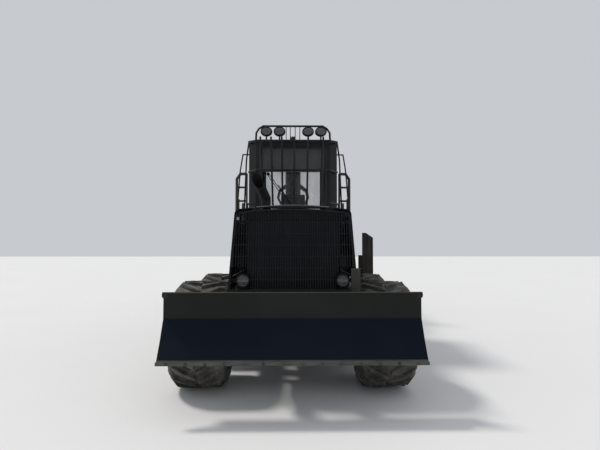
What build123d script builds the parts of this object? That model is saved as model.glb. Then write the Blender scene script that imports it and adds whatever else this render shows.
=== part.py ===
"""Eight-wheeled forwarder with a front dozer blade, a guarded cab and a loading crane.

Units are millimetres. X runs to the machine's left, Y runs to its rear and Z points up.
The origin is on the ground, at the middle of the machine's length and width.
"""

import os
from math import atan2, cos, degrees, hypot, radians, sin

from build123d import *

os.makedirs("parts", exist_ok=True)

# Overall sizes
overall_length = 10250
front_y = -overall_length / 2
fit_gap = 0.3
run_gap = 8

# Wheels
tyre_diameter = 1200
tyre_width = 600
tyre_radius = tyre_diameter / 2
wheel_offset = 1030
bead_radius = 286
rim_width = 480
rim_thickness = 14
disc_offset = 60
disc_thickness = 22
hub_radius = 130
spindle_radius = 70
hub_bore = spindle_radius + fit_gap
bogie_spacing = 1400
lug_height = 45
lug_count = 20

# Stations along the machine, measured back from the blade's edge
blade_station = 250
hood_station = 700
hood_lean = 150
front_bogie_station = 1830
hood_back_station = 2700
cab_station = 2980
cab_length = 1550
joint_station = 4640
pillar_station = joint_station + 750
gate_station = pillar_station + 670
rear_bogie_station = joint_station + 3320
frame_end_station = overall_length - 150

blade_y = front_y + blade_station
hood_y = front_y + hood_station
front_bogie_y = front_y + front_bogie_station
hood_back_y = front_y + hood_back_station
cab_y = front_y + cab_station
cab_back_y = cab_y + cab_length
joint_y = front_y + joint_station
pillar_y = front_y + pillar_station
gate_y = front_y + gate_station
rear_bogie_y = front_y + rear_bogie_station
frame_end_y = front_y + frame_end_station

# Front frame
frame_half_width = 380
frame_plate = 25
frame_low = 650
frame_high = 1090
nose_low = 780
cross_high = 900
frame_front_y = hood_y + 60
frame_rear_y = joint_y - 480
knuckle_plate = 32
knuckle_low = 640
knuckle_high = 960
joint_pin_radius = 55
joint_boss_radius = 150

# Steering rams
ram_pin_radius = 25
steer_base_x = 250
steer_base_back = 855
steer_eye_x = 280
steer_eye_back = 220
steer_z = 815
steer_eye_width = 60

# Blade
blade_width = 2500
blade_plate = 20
blade_top = 1145
blade_fold = 898
blade_knee = 713
blade_edge = 545
edge_height = 31
knee_reach = 100
blade_pivot_y = front_y + 1450
blade_pivot_z = 560
arm_offset = 300
arm_width = 90
arm_depth = 150
blade_pin_radius = 35
blade_eye_reach = 480
blade_eye_z = 620
blade_eye_offset = 200
blade_ram_y = front_y + 945
blade_ram_z = 1040

# Hood
hood_low = 1116
hood_front_top = 2000
hood_back_top = 2180
hood_crown = 33
hood_half_low = 700
hood_half_top = 650
hood_corner = 60
hood_wall = 8
grille_bar = 8
grille_pitch = 27
grille_rows = 6
grille_border = 18
lamp_recess_width = 210
lamp_recess_height = 240
hatch_front_gap = 260
hatch_back_gap = 220
hatch_low = 1260
hatch_high = 1900

# Cab
cab_half_width = 720
cab_floor = 1420
cab_waist = 1960
cab_roof = 3300
cab_wall = 40
roof_thickness = 60
screen_bow = 90
screen_half = 600
glass_thickness = 6
guard_radius = 16
door_front_gap = 330
door_back_gap = 300
door_low = 1480
door_high = 3180

# Crane
pillar_radius = 160
pillar_seat = 1500
boom_pivot_offset = -100
boom_pivot_z = 3580
boom_length = 3000
boom_angle = 12
boom_width = 230
boom_root_depth = 220
boom_depth = 280
boom_wall = 10
stick_length = 1700
stick_width = 180
stick_depth = 200
extension_width = 130
extension_depth = 150
crane_pin_radius = 40

# Rear frame
spine_half_width = 210
spine_low = 860
spine_high = 1280
bunk_width = 2660
bunk_height = 150
bunk_depth = 160
bunk_count = 4
bunk_first = 340
bunk_last_gap = 560
stake_top = 2700
stake_section = 90
gate_half_width = 1275
gate_inner = 1050
gate_top = 3270
gate_low_top = 2350
gate_tube = 32
gate_rung_pitch = 310


def tube(start, end, radius):
    """Adds a round bar between two points to the part that is being built."""
    run = Vector(*end) - Vector(*start)
    with Locations(Plane(origin=start, z_dir=run).location):
        Cylinder(radius, run.length, align=(Align.CENTER, Align.CENTER, Align.MIN))


def rail(points, radius):
    """Adds a bent round bar through a few points, with its bends rounded by balls."""
    for start, end in zip(points, points[1:]):
        tube(start, end, radius)
    for bend in points[1:-1]:
        with Locations(bend):
            Sphere(radius * 1.02)


def slab(plane, points, thickness, both=False, mode=Mode.ADD):
    """Adds or cuts a plate with a straight-sided outline drawn on a plane."""
    with BuildSketch(plane) as outline:
        with BuildLine():
            Polyline(*points, close=True)
        make_face()
    extrude(outline.sketch, amount=thickness, both=both, mode=mode)


def brick(low, high, mode=Mode.ADD):
    """Adds or cuts a box between its lowest and its highest corner."""
    corner = [min(pair) for pair in zip(low, high)]
    size = [abs(b - a) for a, b in zip(low, high)]
    with Locations(tuple(corner)):
        Box(*size, align=(Align.MIN, Align.MIN, Align.MIN), mode=mode)


def side_plane(x):
    """The plane at x that looks along the machine's width: its own x is Y, its own y is Z."""
    return Plane(origin=(x, 0, 0), x_dir=(0, 1, 0), z_dir=(1, 0, 0))


def save(piece, name):
    """Names a finished piece and writes it."""
    piece.part.label = name
    export_step(piece.part, f"parts/{name}.step")


# Wheels
wheel_places = [
    # name, side, y
    ("front_a_right", -1, front_bogie_y - bogie_spacing / 2),
    ("front_a_left", 1, front_bogie_y - bogie_spacing / 2),
    ("front_b_right", -1, front_bogie_y + bogie_spacing / 2),
    ("front_b_left", 1, front_bogie_y + bogie_spacing / 2),
    ("rear_a_right", -1, rear_bogie_y - bogie_spacing / 2),
    ("rear_a_left", 1, rear_bogie_y - bogie_spacing / 2),
    ("rear_b_right", -1, rear_bogie_y + bogie_spacing / 2),
    ("rear_b_left", 1, rear_bogie_y + bogie_spacing / 2),
]
tread_radius = tyre_radius - lug_height
case_outer = wheel_offset - tyre_width / 2 - run_gap - 4
for name, side, wheel_y in wheel_places:
    wheel_plane = Plane(
        origin=(side * wheel_offset, wheel_y, tyre_radius), x_dir=(side, 0, 0), z_dir=(0, -side, 0)
    )
    with BuildPart() as tyre:
        with BuildSketch(wheel_plane):
            with BuildLine():
                Polyline(
                    (-rim_width / 2, bead_radius),
                    (-tyre_width / 2, tyre_radius * 0.68),
                    (-tyre_width / 2, tyre_radius * 0.86),
                    (-tyre_width * 0.45, tyre_radius * 0.975),
                    (-tyre_width * 0.3, tyre_radius),
                    (tyre_width * 0.3, tyre_radius),
                    (tyre_width * 0.45, tyre_radius * 0.975),
                    (tyre_width / 2, tyre_radius * 0.86),
                    (tyre_width / 2, tyre_radius * 0.68),
                    (rim_width / 2, bead_radius),
                    close=True,
                )
            make_face()
        revolve(axis=Axis((0, wheel_y, tyre_radius), (1, 0, 0)))
    save(tyre, f"tyre_{name}")

    rim_outer = bead_radius - fit_gap
    with BuildPart() as rim:
        with BuildSketch(wheel_plane):
            with BuildLine():
                Polyline(
                    (-rim_width / 2, rim_outer),
                    (-rim_width / 2, rim_outer - rim_thickness),
                    (disc_offset, rim_outer - rim_thickness),
                    (disc_offset - 40, hub_radius + 20),
                    (-rim_width / 2, hub_radius),
                    (-rim_width / 2, hub_bore),
                    (disc_offset + 40, hub_bore),
                    (disc_offset + 40, hub_radius - 30),
                    (disc_offset - 40 + disc_thickness, hub_radius + 20),
                    (disc_offset + disc_thickness, rim_outer - rim_thickness),
                    (rim_width / 2, rim_outer - rim_thickness),
                    (rim_width / 2, rim_outer),
                    close=True,
                )
            make_face()
        revolve(axis=Axis((0, wheel_y, tyre_radius), (1, 0, 0)))
    save(rim, f"rim_{name}")

# Axles: a cross housing, two bogie cases with rounded ends and a spindle into each hub
case_width = 190
case_half_height = 150
axle_radius = 140
saddle_half = 165
saddle_high = tyre_radius + axle_radius + 5
axles = [
    # name, y, height of the saddle's top
    ("front_axle", front_bogie_y, saddle_high - fit_gap),
    ("rear_axle", rear_bogie_y, spine_low - fit_gap),
]
for name, axle_y, saddle_top in axles:
    with BuildPart() as axle:
        tube((-case_outer + 20, axle_y, tyre_radius), (case_outer - 20, axle_y, tyre_radius), axle_radius)
        brick(
            (-frame_half_width - 20, axle_y - 130, tyre_radius),
            (frame_half_width + 20, axle_y + 130, saddle_top),
        )
        for side in (-1, 1):
            case_plane = side_plane(side * case_outer)
            with BuildSketch(case_plane) as case_outline:
                with Locations((axle_y, tyre_radius)):
                    SlotCenterToCenter(bogie_spacing, case_half_height * 2)
            extrude(case_outline.sketch, amount=-side * case_width)
            for end in (-1, 1):
                spindle_y = axle_y + end * bogie_spacing / 2
                tube(
                    (side * (case_outer - 40), spindle_y, tyre_radius),
                    (side * (wheel_offset + disc_offset + 60), spindle_y, tyre_radius),
                    spindle_radius,
                )
    save(axle, name)

# Front frame: side plates, cross plates, the knuckle plates of the centre joint
with BuildPart() as front_frame:
    for side in (-1, 1):
        brick(
            (side * frame_half_width - frame_plate / 2, frame_front_y, frame_low),
            (side * frame_half_width + frame_plate / 2, frame_rear_y, frame_high),
        )
    cross_plates = [
        # y, low, high
        (frame_front_y, nose_low, frame_high),
        (front_bogie_y - 190, frame_low, cross_high),
        (front_bogie_y + 170, frame_low, cross_high),
        (frame_rear_y - frame_plate, knuckle_high, frame_high),
    ]
    for cross_y, low, high in cross_plates:
        brick((-frame_half_width, cross_y, low), (frame_half_width, cross_y + frame_plate, high))
    brick(
        (-frame_half_width - 50, front_bogie_y - saddle_half, frame_low - 10),
        (frame_half_width + 50, front_bogie_y + saddle_half, saddle_high),
        mode=Mode.SUBTRACT,
    )
    for low in (knuckle_low, knuckle_high):
        slab(
            Plane.XY.offset(low),
            [
                (-frame_half_width, frame_rear_y - frame_plate),
                (frame_half_width, frame_rear_y - frame_plate),
                (joint_boss_radius * 0.9, joint_y),
                (-joint_boss_radius * 0.9, joint_y),
            ],
            knuckle_plate,
        )
        with Locations((0, joint_y, low)):
            Cylinder(joint_boss_radius, knuckle_plate, align=(Align.CENTER, Align.CENTER, Align.MIN))
    brick(
        (-frame_half_width, frame_front_y - 60, nose_low),
        (frame_half_width, frame_front_y + frame_plate, hood_low - 6),
    )
    for rest_y in (hood_y + 160, hood_y + 900, hood_back_y - 120):
        for side in (-1, 1):
            brick(
                (side * (frame_half_width - frame_plate / 2), rest_y - 30, frame_high - 40),
                (side * (hood_half_low + 4), rest_y + 30, hood_low - fit_gap),
            )
    tube((-frame_half_width, blade_ram_y, blade_ram_z), (frame_half_width, blade_ram_y, blade_ram_z), ram_pin_radius)
    for side in (-1, 1):
        tube(
            (side * steer_base_x, joint_y - steer_base_back, knuckle_low + 6),
            (side * steer_base_x, joint_y - steer_base_back, knuckle_high),
            ram_pin_radius,
        )
        for low in (steer_z - steer_eye_width / 2 - 45, steer_z + steer_eye_width / 2 + 5):
            brick(
                (min(side * (steer_base_x - 60), side * frame_half_width), joint_y - steer_base_back - 60, low),
                (max(side * (steer_base_x - 60), side * frame_half_width), joint_y - steer_base_back + 60, low + 40),
            )
    for side in (-1, 1):
        for post_y in (cab_y + 150, frame_rear_y - 120):
            brick(
                (side * frame_half_width - 60, post_y - 60, frame_high - 20),
                (side * frame_half_width + 60, post_y + 60, cab_floor - fit_gap),
            )
        for offset in (-1, 1):
            cheek_x = side * arm_offset + offset * (arm_width / 2 + run_gap + 12)
            brick(
                (cheek_x - 12, blade_pivot_y - 70, blade_pivot_z - 70),
                (cheek_x + 12, blade_pivot_y + 70, frame_low + 20),
            )
        brick(
            (side * (arm_offset - 77) - 12, blade_pivot_y - 12, frame_low),
            (side * (arm_offset + 90) + 12, blade_pivot_y + 12, frame_low + 30),
        )
    tube(
        (-arm_offset - 80, blade_pivot_y, blade_pivot_z),
        (arm_offset + 80, blade_pivot_y, blade_pivot_z),
        blade_pin_radius,
    )
    tube((0, joint_y, knuckle_low - 30), (0, joint_y, knuckle_low), joint_pin_radius + 30)
    tube((0, joint_y, knuckle_high), (0, joint_y, knuckle_high + knuckle_plate + 30), joint_pin_radius + 30)
    tube((0, joint_y, knuckle_low), (0, joint_y, knuckle_high + 5), joint_pin_radius)
save(front_frame, "front_frame")

# Engine and radiator as plain blocks behind the grille
with BuildPart() as engine:
    brick((-270, hood_y + 620, cross_high + fit_gap), (270, hood_back_y - 150, 1820))
    brick((-520, hood_y + 260, frame_high + fit_gap), (520, hood_y + 380, 1880))
save(engine, "engine")

# Hood: two sections lofted, hollowed by a smaller pair


def hood_section(inset, roof):
    """The hood's cross-section under a given top, drawn in by a wall's thickness."""
    top = roof - inset
    half_top = hood_half_top - inset
    half_low = hood_half_low - inset
    shoulder = (half_top, top - hood_corner)
    bend = (half_top - hood_corner * 0.3, top - hood_corner * 0.3)
    edge_in = (half_top - hood_corner, top)
    with BuildLine() as edge:
        Polyline((-shoulder[0], shoulder[1]), (-half_low, hood_low), (half_low, hood_low), shoulder)
        ThreePointArc(shoulder, bend, edge_in)
        ThreePointArc(edge_in, (0, top + hood_crown), (-edge_in[0], top))
        ThreePointArc((-edge_in[0], top), (-bend[0], bend[1]), (-shoulder[0], shoulder[1]))
    make_face(edge.edges())


def hood_solid(inset, spare):
    """The hood's filled form between its two end sections, longer by a spare length at each end."""
    front, back = hood_y - spare, hood_back_y + spare
    with BuildSketch(Plane.XZ.offset(-front)) as front_section:
        hood_section(inset, hood_front_top)
    with BuildSketch(Plane.XZ.offset(-back)) as back_section:
        hood_section(inset, hood_back_top)
    return Solid.make_loft([front_section.sketch.face().outer_wire(), back_section.sketch.face().outer_wire()], True)


hood_run = hood_back_y - hood_y
hatch_hinge_x = hood_half_low - (hatch_high - hood_low) * (hood_half_low - hood_half_top) / (hood_front_top - hood_corner - hood_low) + 12
hatch_hinges = (hood_y + 520, hood_back_y - 480)
hatch_pin = 6
knuckle_half = 40
ear_gap = 6
ear = 16
with BuildPart() as hood:
    add(hood_solid(0, 0))
    add(hood_solid(hood_wall, 1), mode=Mode.SUBTRACT)
    slab(
        side_plane(0),
        [
            (hood_y - 50, hood_low - 50),
            (hood_y, hood_low),
            (hood_y + hood_lean, hood_front_top),
            (hood_y + hood_lean, hood_front_top + 200),
            (hood_y - 50, hood_front_top + 200),
        ],
        hood_half_low + 50,
        both=True,
        mode=Mode.SUBTRACT,
    )
    brick(
        (-hood_half_low - 50, hood_y + hatch_front_gap, hatch_low),
        (hood_half_low + 50, hood_back_y - hatch_back_gap, hatch_high),
        mode=Mode.SUBTRACT,
    )
    for side in (-1, 1):
        for hinge_y in hatch_hinges:
            reach = knuckle_half + ear_gap + ear
            brick(
                (side * (hatch_hinge_x - 40), hinge_y - knuckle_half - 5, hatch_high - 20),
                (side * (hatch_hinge_x + 20), hinge_y + knuckle_half + 5, hatch_high + 20),
                mode=Mode.SUBTRACT,
            )
            tube(
                (side * hatch_hinge_x, hinge_y - reach, hatch_high),
                (side * hatch_hinge_x, hinge_y + reach, hatch_high),
                hatch_pin,
            )
            for end in (-1, 1):
                ear_y = sorted((hinge_y + end * (reach - ear), hinge_y + end * reach))
                brick(
                    (side * (hatch_hinge_x - 9), ear_y[0], hatch_high - 9),
                    (side * (hatch_hinge_x + 9), ear_y[1], hatch_high + 30),
                )
                brick(
                    (side * (hatch_hinge_x - 18), ear_y[0], hatch_high + 4),
                    (side * hatch_hinge_x, ear_y[1], hatch_high + 30),
                )
save(hood, "hood")

# Side hatches: the pieces of the same wall that fill the hood's openings
for side, name in ((-1, "hatch_right"), (1, "hatch_left")):
    with BuildPart() as hatch:
        add(hood_solid(0, 0))
        add(hood_solid(hood_wall, 1), mode=Mode.SUBTRACT)
        hatch_x = sorted((0, side * (hood_half_low + 50)))
        with Locations((hatch_x[0], hood_y + hatch_front_gap + run_gap, hatch_low + run_gap)):
            Box(
                hatch_x[1] - hatch_x[0],
                hood_run - hatch_front_gap - hatch_back_gap - 2 * run_gap,
                hatch_high - hatch_low - run_gap - 1,
                align=(Align.MIN, Align.MIN, Align.MIN),
                mode=Mode.INTERSECT,
            )
        for hinge_y in hatch_hinges:
            low_y, high_y = hinge_y - knuckle_half, hinge_y + knuckle_half
            for end in (-1, 1):
                notch_y = sorted((hinge_y + end * (knuckle_half + 1), hinge_y + end * (knuckle_half + 30)))
                brick(
                    (side * (hatch_hinge_x - 60), notch_y[0], hatch_high - 30),
                    (side * (hatch_hinge_x + 20), notch_y[1], hatch_high + 20),
                    mode=Mode.SUBTRACT,
                )
            tube((side * hatch_hinge_x, low_y, hatch_high), (side * hatch_hinge_x, high_y, hatch_high), 13)
            with BuildSketch(Plane.XZ.offset(-high_y - 5)) as knuckle_bore:
                with Locations((side * hatch_hinge_x, hatch_high)):
                    Circle(hatch_pin + fit_gap)
            extrude(knuckle_bore.sketch, amount=2 * knuckle_half + 10, mode=Mode.SUBTRACT)
    save(hatch, name)

# Grille: upright bars in a leaning frame, with cross bars behind them
lean_angle = degrees(atan2(hood_lean, hood_front_top - hood_low))
grille_height = hypot(hood_lean, hood_front_top - hood_low) - 8
grille_plane = Plane(
    origin=(0, hood_y, hood_low), x_dir=(1, 0, 0), z_dir=(0, -cos(radians(lean_angle)), sin(radians(lean_angle)))
)
grille_half_low = hood_half_low - hood_wall - 0.75
grille_half_top = hood_half_top - hood_wall - 3
grille_depth = 26
grille_edge_in = grille_half_top - hood_corner * 0.9


def grille_top(x):
    """The outline's top at a distance from the middle: it follows the hood's crown and drops at the corners."""
    drop = max(0, abs(x) - grille_edge_in) / (grille_half_top - grille_edge_in)
    return grille_height - hood_corner * (0.15 + 0.8 * drop) + hood_crown * (1 - (min(abs(x), grille_edge_in) / grille_edge_in) ** 2)


def grille_outline(inset):
    """The leaning front's outline, drawn in by a border."""
    low = 6 + inset
    corner = (grille_half_top - inset, grille_top(grille_half_top) - inset)
    edge_in = (grille_edge_in - inset * 0.5, grille_top(grille_edge_in) - inset)
    with BuildLine() as edge:
        Polyline(
            (-edge_in[0], edge_in[1]), (-corner[0], corner[1]), (-(grille_half_low - inset), low),
            (grille_half_low - inset, low), corner, edge_in,
        )
        ThreePointArc(edge_in, (0, grille_top(0) - inset), (-edge_in[0], edge_in[1]))
    make_face(edge.edges())


with BuildPart() as grille:
    with BuildSketch(grille_plane.offset(-grille_depth - 4)) as rim_face:
        grille_outline(0)
    extrude(rim_face.sketch, amount=grille_depth)
    with BuildSketch(grille_plane.offset(-grille_depth - 10)) as hole_face:
        grille_outline(grille_border)
    extrude(hole_face.sketch, amount=grille_depth + 20, mode=Mode.SUBTRACT)
    bar_count = int((grille_half_low - grille_border - 4) / grille_pitch)
    bar_low = 6 + grille_border / 2
    with BuildSketch(grille_plane.offset(-14)) as upright_bars:
        for index in range(-bar_count, bar_count + 1):
            bar_x = index * grille_pitch
            inside = abs(bar_x) + grille_bar < grille_half_top
            bar_high = grille_top(bar_x) - grille_border / 2 if inside else grille_height * 0.55
            with Locations((bar_x, (bar_low + bar_high) / 2)):
                Rectangle(grille_bar, bar_high - bar_low)
    extrude(upright_bars.sketch, amount=grille_bar)
    with BuildSketch(grille_plane.offset(-21)) as cross_bars:
        for index in range(1, grille_rows + 1):
            share = index / (grille_rows + 1)
            reach = grille_half_low + (grille_half_top - grille_half_low) * share - 10
            with Locations((0, share * grille_height)):
                Rectangle(2 * reach, grille_bar)
    extrude(cross_bars.sketch, amount=grille_bar)
    for side in (-1, 1):
        recess_x = side * (grille_half_low - 4 - grille_border - lamp_recess_width / 2)
        with BuildSketch(grille_plane.offset(-40)) as recess:
            with Locations((recess_x, grille_border + lamp_recess_height / 2)):
                Rectangle(lamp_recess_width, lamp_recess_height)
        extrude(recess.sketch, amount=60, mode=Mode.SUBTRACT)
save(grille, "grille")

# Lamps: headlamps in the recesses and work lamps along the roof rack
with BuildPart() as lamps:
    for side in (-1, 1):
        tube((side * 540, hood_y + 115, 1225), (side * 540, hood_y + 55, 1225), 75)
        brick((side * 540, hood_y + 100, 1200), (side * 683.6, hood_y + 112, 1250))
    work_lamps = (-433, -220, 243, 452)
    for lamp_x in work_lamps:
        with BuildSketch(Plane.XZ.offset(-(cab_y + 170))) as bowl:
            with Locations((lamp_x, cab_roof + 157)):
                Ellipse(95, 72)
        extrude(bowl.sketch, amount=75)
        brick((lamp_x - 12, cab_y + 115, cab_roof + fit_gap), (lamp_x + 12, cab_y + 155, cab_roof + 100))
save(lamps, "lamps")

# Exhaust: a stack with a swept mouth between hood and cab
stack_x = -420
stack_y = hood_back_y + 88
stack_radius = 77
stack_bend = (stack_x, stack_y, 2330)
mouth_run = (-111, -199, 249)
stack_mouth = tuple(a + b for a, b in zip(stack_bend, mouth_run))
stack_far = tuple(a + 1.5 * b for a, b in zip(stack_bend, mouth_run))
with BuildPart() as exhaust:
    rail([(stack_x, stack_y, frame_high + fit_gap), stack_bend, stack_far], stack_radius)
    with Locations(Plane(origin=stack_far, z_dir=Vector(*stack_bend) - Vector(*stack_far)).location):
        Cylinder(stack_radius - 7, 400, align=(Align.CENTER, Align.CENTER, Align.MIN), mode=Mode.SUBTRACT)
    brick((stack_x - 500, stack_mouth[1] - 300, 2200), (stack_x + 200, stack_mouth[1], 3000), mode=Mode.SUBTRACT)
save(exhaust, "exhaust")

# Cab: a hollow shell with a bowed front and its windows cut


def cab_outline(inset):
    """The cab seen from above, with its front bowed out in three facets."""
    half = cab_half_width - inset
    front = cab_y + screen_bow + inset
    with BuildLine() as edge:
        Polyline(
            (-half, cab_back_y - inset),
            (half, cab_back_y - inset),
            (half, front + 120),
            (screen_half - inset, front),
            (screen_half * 0.5, front - screen_bow * 0.75),
            (-screen_half * 0.5, front - screen_bow * 0.75),
            (-screen_half + inset, front),
            (-half, front + 120),
            close=True,
        )
    make_face(edge.edges())


door_y0 = cab_y + door_front_gap
door_y1 = cab_back_y - door_back_gap
door_hinge_x = cab_half_width + 12
door_hinge_y = door_y1 - run_gap - 10
door_hinges = (1760, 2900)
door_pin = 8
with BuildPart() as cab_shell:
    with BuildSketch(Plane.XY.offset(cab_floor)) as cab_plan:
        cab_outline(0)
    extrude(cab_plan.sketch, amount=cab_roof - cab_floor)
    with BuildSketch(Plane.XY.offset(cab_floor + cab_wall)) as cab_room:
        cab_outline(cab_wall)
    extrude(cab_room.sketch, amount=cab_roof - roof_thickness - cab_floor - cab_wall, mode=Mode.SUBTRACT)
    brick((-screen_half + 60, cab_y - 20, cab_waist - 120), (screen_half - 60, cab_y + 200, cab_roof - 110), mode=Mode.SUBTRACT)
    brick((-540, cab_back_y - 100, cab_waist), (540, cab_back_y + 20, cab_roof - 130), mode=Mode.SUBTRACT)
    brick(
        (-cab_half_width - 20, cab_y + door_front_gap, cab_waist - 150),
        (-cab_half_width + 100, cab_back_y - door_back_gap, door_high),
        mode=Mode.SUBTRACT,
    )
    brick(
        (cab_half_width - 100, cab_y + door_front_gap, door_low),
        (cab_half_width + 20, cab_back_y - door_back_gap, door_high),
        mode=Mode.SUBTRACT,
    )
    for hinge_z in door_hinges:
        reach = knuckle_half + ear_gap + ear
        tube((door_hinge_x, door_hinge_y, hinge_z - reach), (door_hinge_x, door_hinge_y, hinge_z + reach), door_pin)
        for end in (-1, 1):
            ear_z = sorted((hinge_z + end * (reach - ear), hinge_z + end * reach))
            brick((door_hinge_x - 8, door_hinge_y - 12, ear_z[0]), (door_hinge_x + 14, door_y1 + 30, ear_z[1]))
            brick((cab_half_width - 10, door_y1 + 1, ear_z[0]), (door_hinge_x, door_y1 + 30, ear_z[1]))
save(cab_shell, "cab_shell")

# Door with its frame and its hinge knuckles
with BuildPart() as cab_door:
    brick((cab_half_width - cab_wall, door_y0 + run_gap, door_low + run_gap), (cab_half_width, door_y1 - run_gap, door_high - run_gap))
    brick((cab_half_width - 100, door_y0 + 90, cab_waist - 150), (cab_half_width + 20, door_y1 - 90, door_high - 90), mode=Mode.SUBTRACT)
    for hinge_z in door_hinges:
        for end in (-1, 1):
            notch_z = sorted((hinge_z + end * (knuckle_half + 1), hinge_z + end * (knuckle_half + 32)))
            brick(
                (cab_half_width - cab_wall - 5, door_hinge_y - 30, notch_z[0]),
                (cab_half_width + 5, door_y1, notch_z[1]),
                mode=Mode.SUBTRACT,
            )
        low_z, high_z = hinge_z - knuckle_half, hinge_z + knuckle_half
        tube((door_hinge_x, door_hinge_y, low_z), (door_hinge_x, door_hinge_y, high_z), 17)
        with BuildSketch(Plane.XY.offset(low_z - 5)) as door_bore:
            with Locations((door_hinge_x, door_hinge_y)):
                Circle(door_pin + fit_gap)
        extrude(door_bore.sketch, amount=2 * knuckle_half + 10, mode=Mode.SUBTRACT)
save(cab_door, "cab_door")

# Glass: fixed panes set in the shell, and the door's own pane
pane_inset = cab_wall / 2
with BuildPart() as cab_glass:
    brick(
        (-screen_half + 60 + fit_gap, cab_y + 54, cab_waist - 120 + fit_gap),
        (screen_half - 60 - fit_gap, cab_y + 54 + glass_thickness, cab_roof - 110 - fit_gap),
    )
    brick(
        (-540 + fit_gap, cab_back_y - pane_inset, cab_waist + fit_gap),
        (540 - fit_gap, cab_back_y - pane_inset + glass_thickness, cab_roof - 130 - fit_gap),
    )
    brick(
        (-cab_half_width + pane_inset, cab_y + door_front_gap + fit_gap, cab_waist - 150 + fit_gap),
        (
            -cab_half_width + pane_inset + glass_thickness, cab_back_y - door_back_gap - fit_gap,
            door_high - fit_gap,
        ),
    )
save(cab_glass, "cab_glass")

with BuildPart() as door_glass:
    brick(
        (cab_half_width - pane_inset - glass_thickness, door_y0 + 90 + fit_gap, cab_waist - 150 + fit_gap),
        (cab_half_width - pane_inset, door_y1 - 90 - fit_gap, door_high - 90 - fit_gap),
    )
save(door_glass, "door_glass")

# Cab guard: front bars and hoops, and side rails, all of round bar
guard_front_y = cab_y - 110
guard_top = cab_roof + 30
guard_mid = 2790
guard_low = 2200
facet_in = cos(radians(45))
foot_x = screen_half + 60
foot_y = cab_y + screen_bow + 60
bar_tops = (-520, -350, -180, 20, 240, 480)


with BuildPart() as cab_guard:
    for bar_x in bar_tops:
        rail(
            [
                (bar_x, guard_front_y + 60, guard_top),
                (bar_x * 0.95, guard_front_y, guard_mid),
                (bar_x * 0.9, guard_front_y + 40, guard_low),
            ],
            guard_radius * 0.95,
        )
    for hoop_y, hoop_z in ((guard_front_y + 60, guard_top - 60), (guard_front_y, guard_mid), (guard_front_y + 40, guard_low)):
        feet = [
            (side * (foot_x + facet_in * reach), foot_y - facet_in * reach, hoop_z)
            for side, reach in ((-1, fit_gap), (-1, 70), (1, 70), (1, fit_gap))
        ]
        rail(
            [feet[0], feet[1], (-screen_half + 20, hoop_y, hoop_z), (screen_half - 20, hoop_y, hoop_z), feet[2], feet[3]],
            guard_radius,
        )
    for side in (-1, 1):
        front_hoop = [
            (620, cab_roof + fit_gap), (620, cab_roof + 50), (730, cab_roof + 30), (770, 3030),
            (800, 2250), (800, 2130), (cab_half_width + fit_gap, 2130),
        ]
        rear_hoop = [
            (660, cab_roof + fit_gap), (660, cab_roof + 50), (960, cab_roof + 50), (1010, 3030),
            (1070, 2240), (1070, 2000), (cab_half_width + fit_gap, 2000),
        ]
        rail([(side * x, cab_y + 290, z) for x, z in front_hoop], guard_radius * 0.8)
        rail([(side * x, cab_back_y - 90, z) for x, z in rear_hoop], guard_radius * 0.8)
save(cab_guard, "cab_guard")

# Roof rack: a bent bar over the work lamps, with four slats behind it
rack_top = cab_roof + 232
rack = [
    (610, cab_y + 230, cab_roof + fit_gap),
    (610, cab_y + 230, cab_roof + 50),
    (592, cab_y + 70, cab_roof + 120),
    (548, cab_y + 70, cab_roof + 190),
    (480, cab_y + 70, rack_top),
]
with BuildPart() as roof_rack:
    rail(rack + [(-x, y, z) for x, y, z in reversed(rack)], guard_radius)
    for slat_x in (-112, -45, 35, 110):
        tube((slat_x, cab_y + 230, cab_roof + 4), (slat_x, cab_y + 70, rack_top), 6)
save(roof_rack, "roof_rack")

# Cab interior: floor console, seat base and the armrests with their levers
with BuildPart() as cab_interior:
    seat_y = cab_y + 900
    brick((-230, seat_y - 200, cab_floor + cab_wall + fit_gap), (230, seat_y + 330, 1800))
    for side in (-1, 1):
        brick((side * 330 - 60, seat_y - 300, 1990), (side * 330 + 60, seat_y + 120, 2060))
        brick((side * 330 - 45, seat_y - 40, 1700), (side * 330 + 45, seat_y + 60, 2000))
        brick((min(0, side * 330), seat_y - 20, 1700), (max(0, side * 330), seat_y + 40, 1760))
    brick(
        (-screen_half + 90, cab_y + 140, 2800),
        (screen_half - 90, cab_y + 152, cab_roof - roof_thickness - fit_gap),
    )
    brick((-160, cab_y + 330, cab_floor + cab_wall + fit_gap), (160, cab_y + 480, 1560))
save(cab_interior, "cab_interior")

with BuildPart() as seat_cushion:
    brick((-240, seat_y - 260, 1800 + fit_gap), (240, seat_y + 200, 1920))
    brick((-230, seat_y + 205, 1800 + fit_gap), (230, seat_y + 320, 2560))
save(seat_cushion, "seat_cushion")

# Tanks under the cab sides, with brackets to the frame
with BuildPart() as side_tanks:
    for side in (-1, 1):
        tank_x = sorted((side * 460, side * 980))
        brick((tank_x[0], joint_y - 1310, 860), (tank_x[1], joint_y - 300, 1330))
        bracket_x = sorted((side * (frame_half_width + frame_plate / 2 + fit_gap), side * 470))
        brick((bracket_x[0], joint_y - 1150, 900), (bracket_x[1], joint_y - 600, 1050))
save(side_tanks, "side_tanks")

# Boarding ladder outboard of the left tank
ladder_y = joint_y - 1290
ladder_width = 460
with BuildPart() as ladder:
    for end_y, top in ((ladder_y, 1820), (ladder_y + ladder_width, 1440)):
        slab(
            Plane(origin=(0, end_y, 0), x_dir=(1, 0, 0), z_dir=(0, -1, 0)),
            [(1150, 560), (1330, 560), (1330, top - 80), (1210, top), (1150, top)],
            12,
        )
        brick((980 + fit_gap, end_y - 12, 1000), (1165, end_y + 28, 1040))
    for step in range(3):
        brick((1160, ladder_y - 12, 580 + 300 * step), (1320, ladder_y + ladder_width, 610 + 300 * step))
save(ladder, "ladder")


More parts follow.
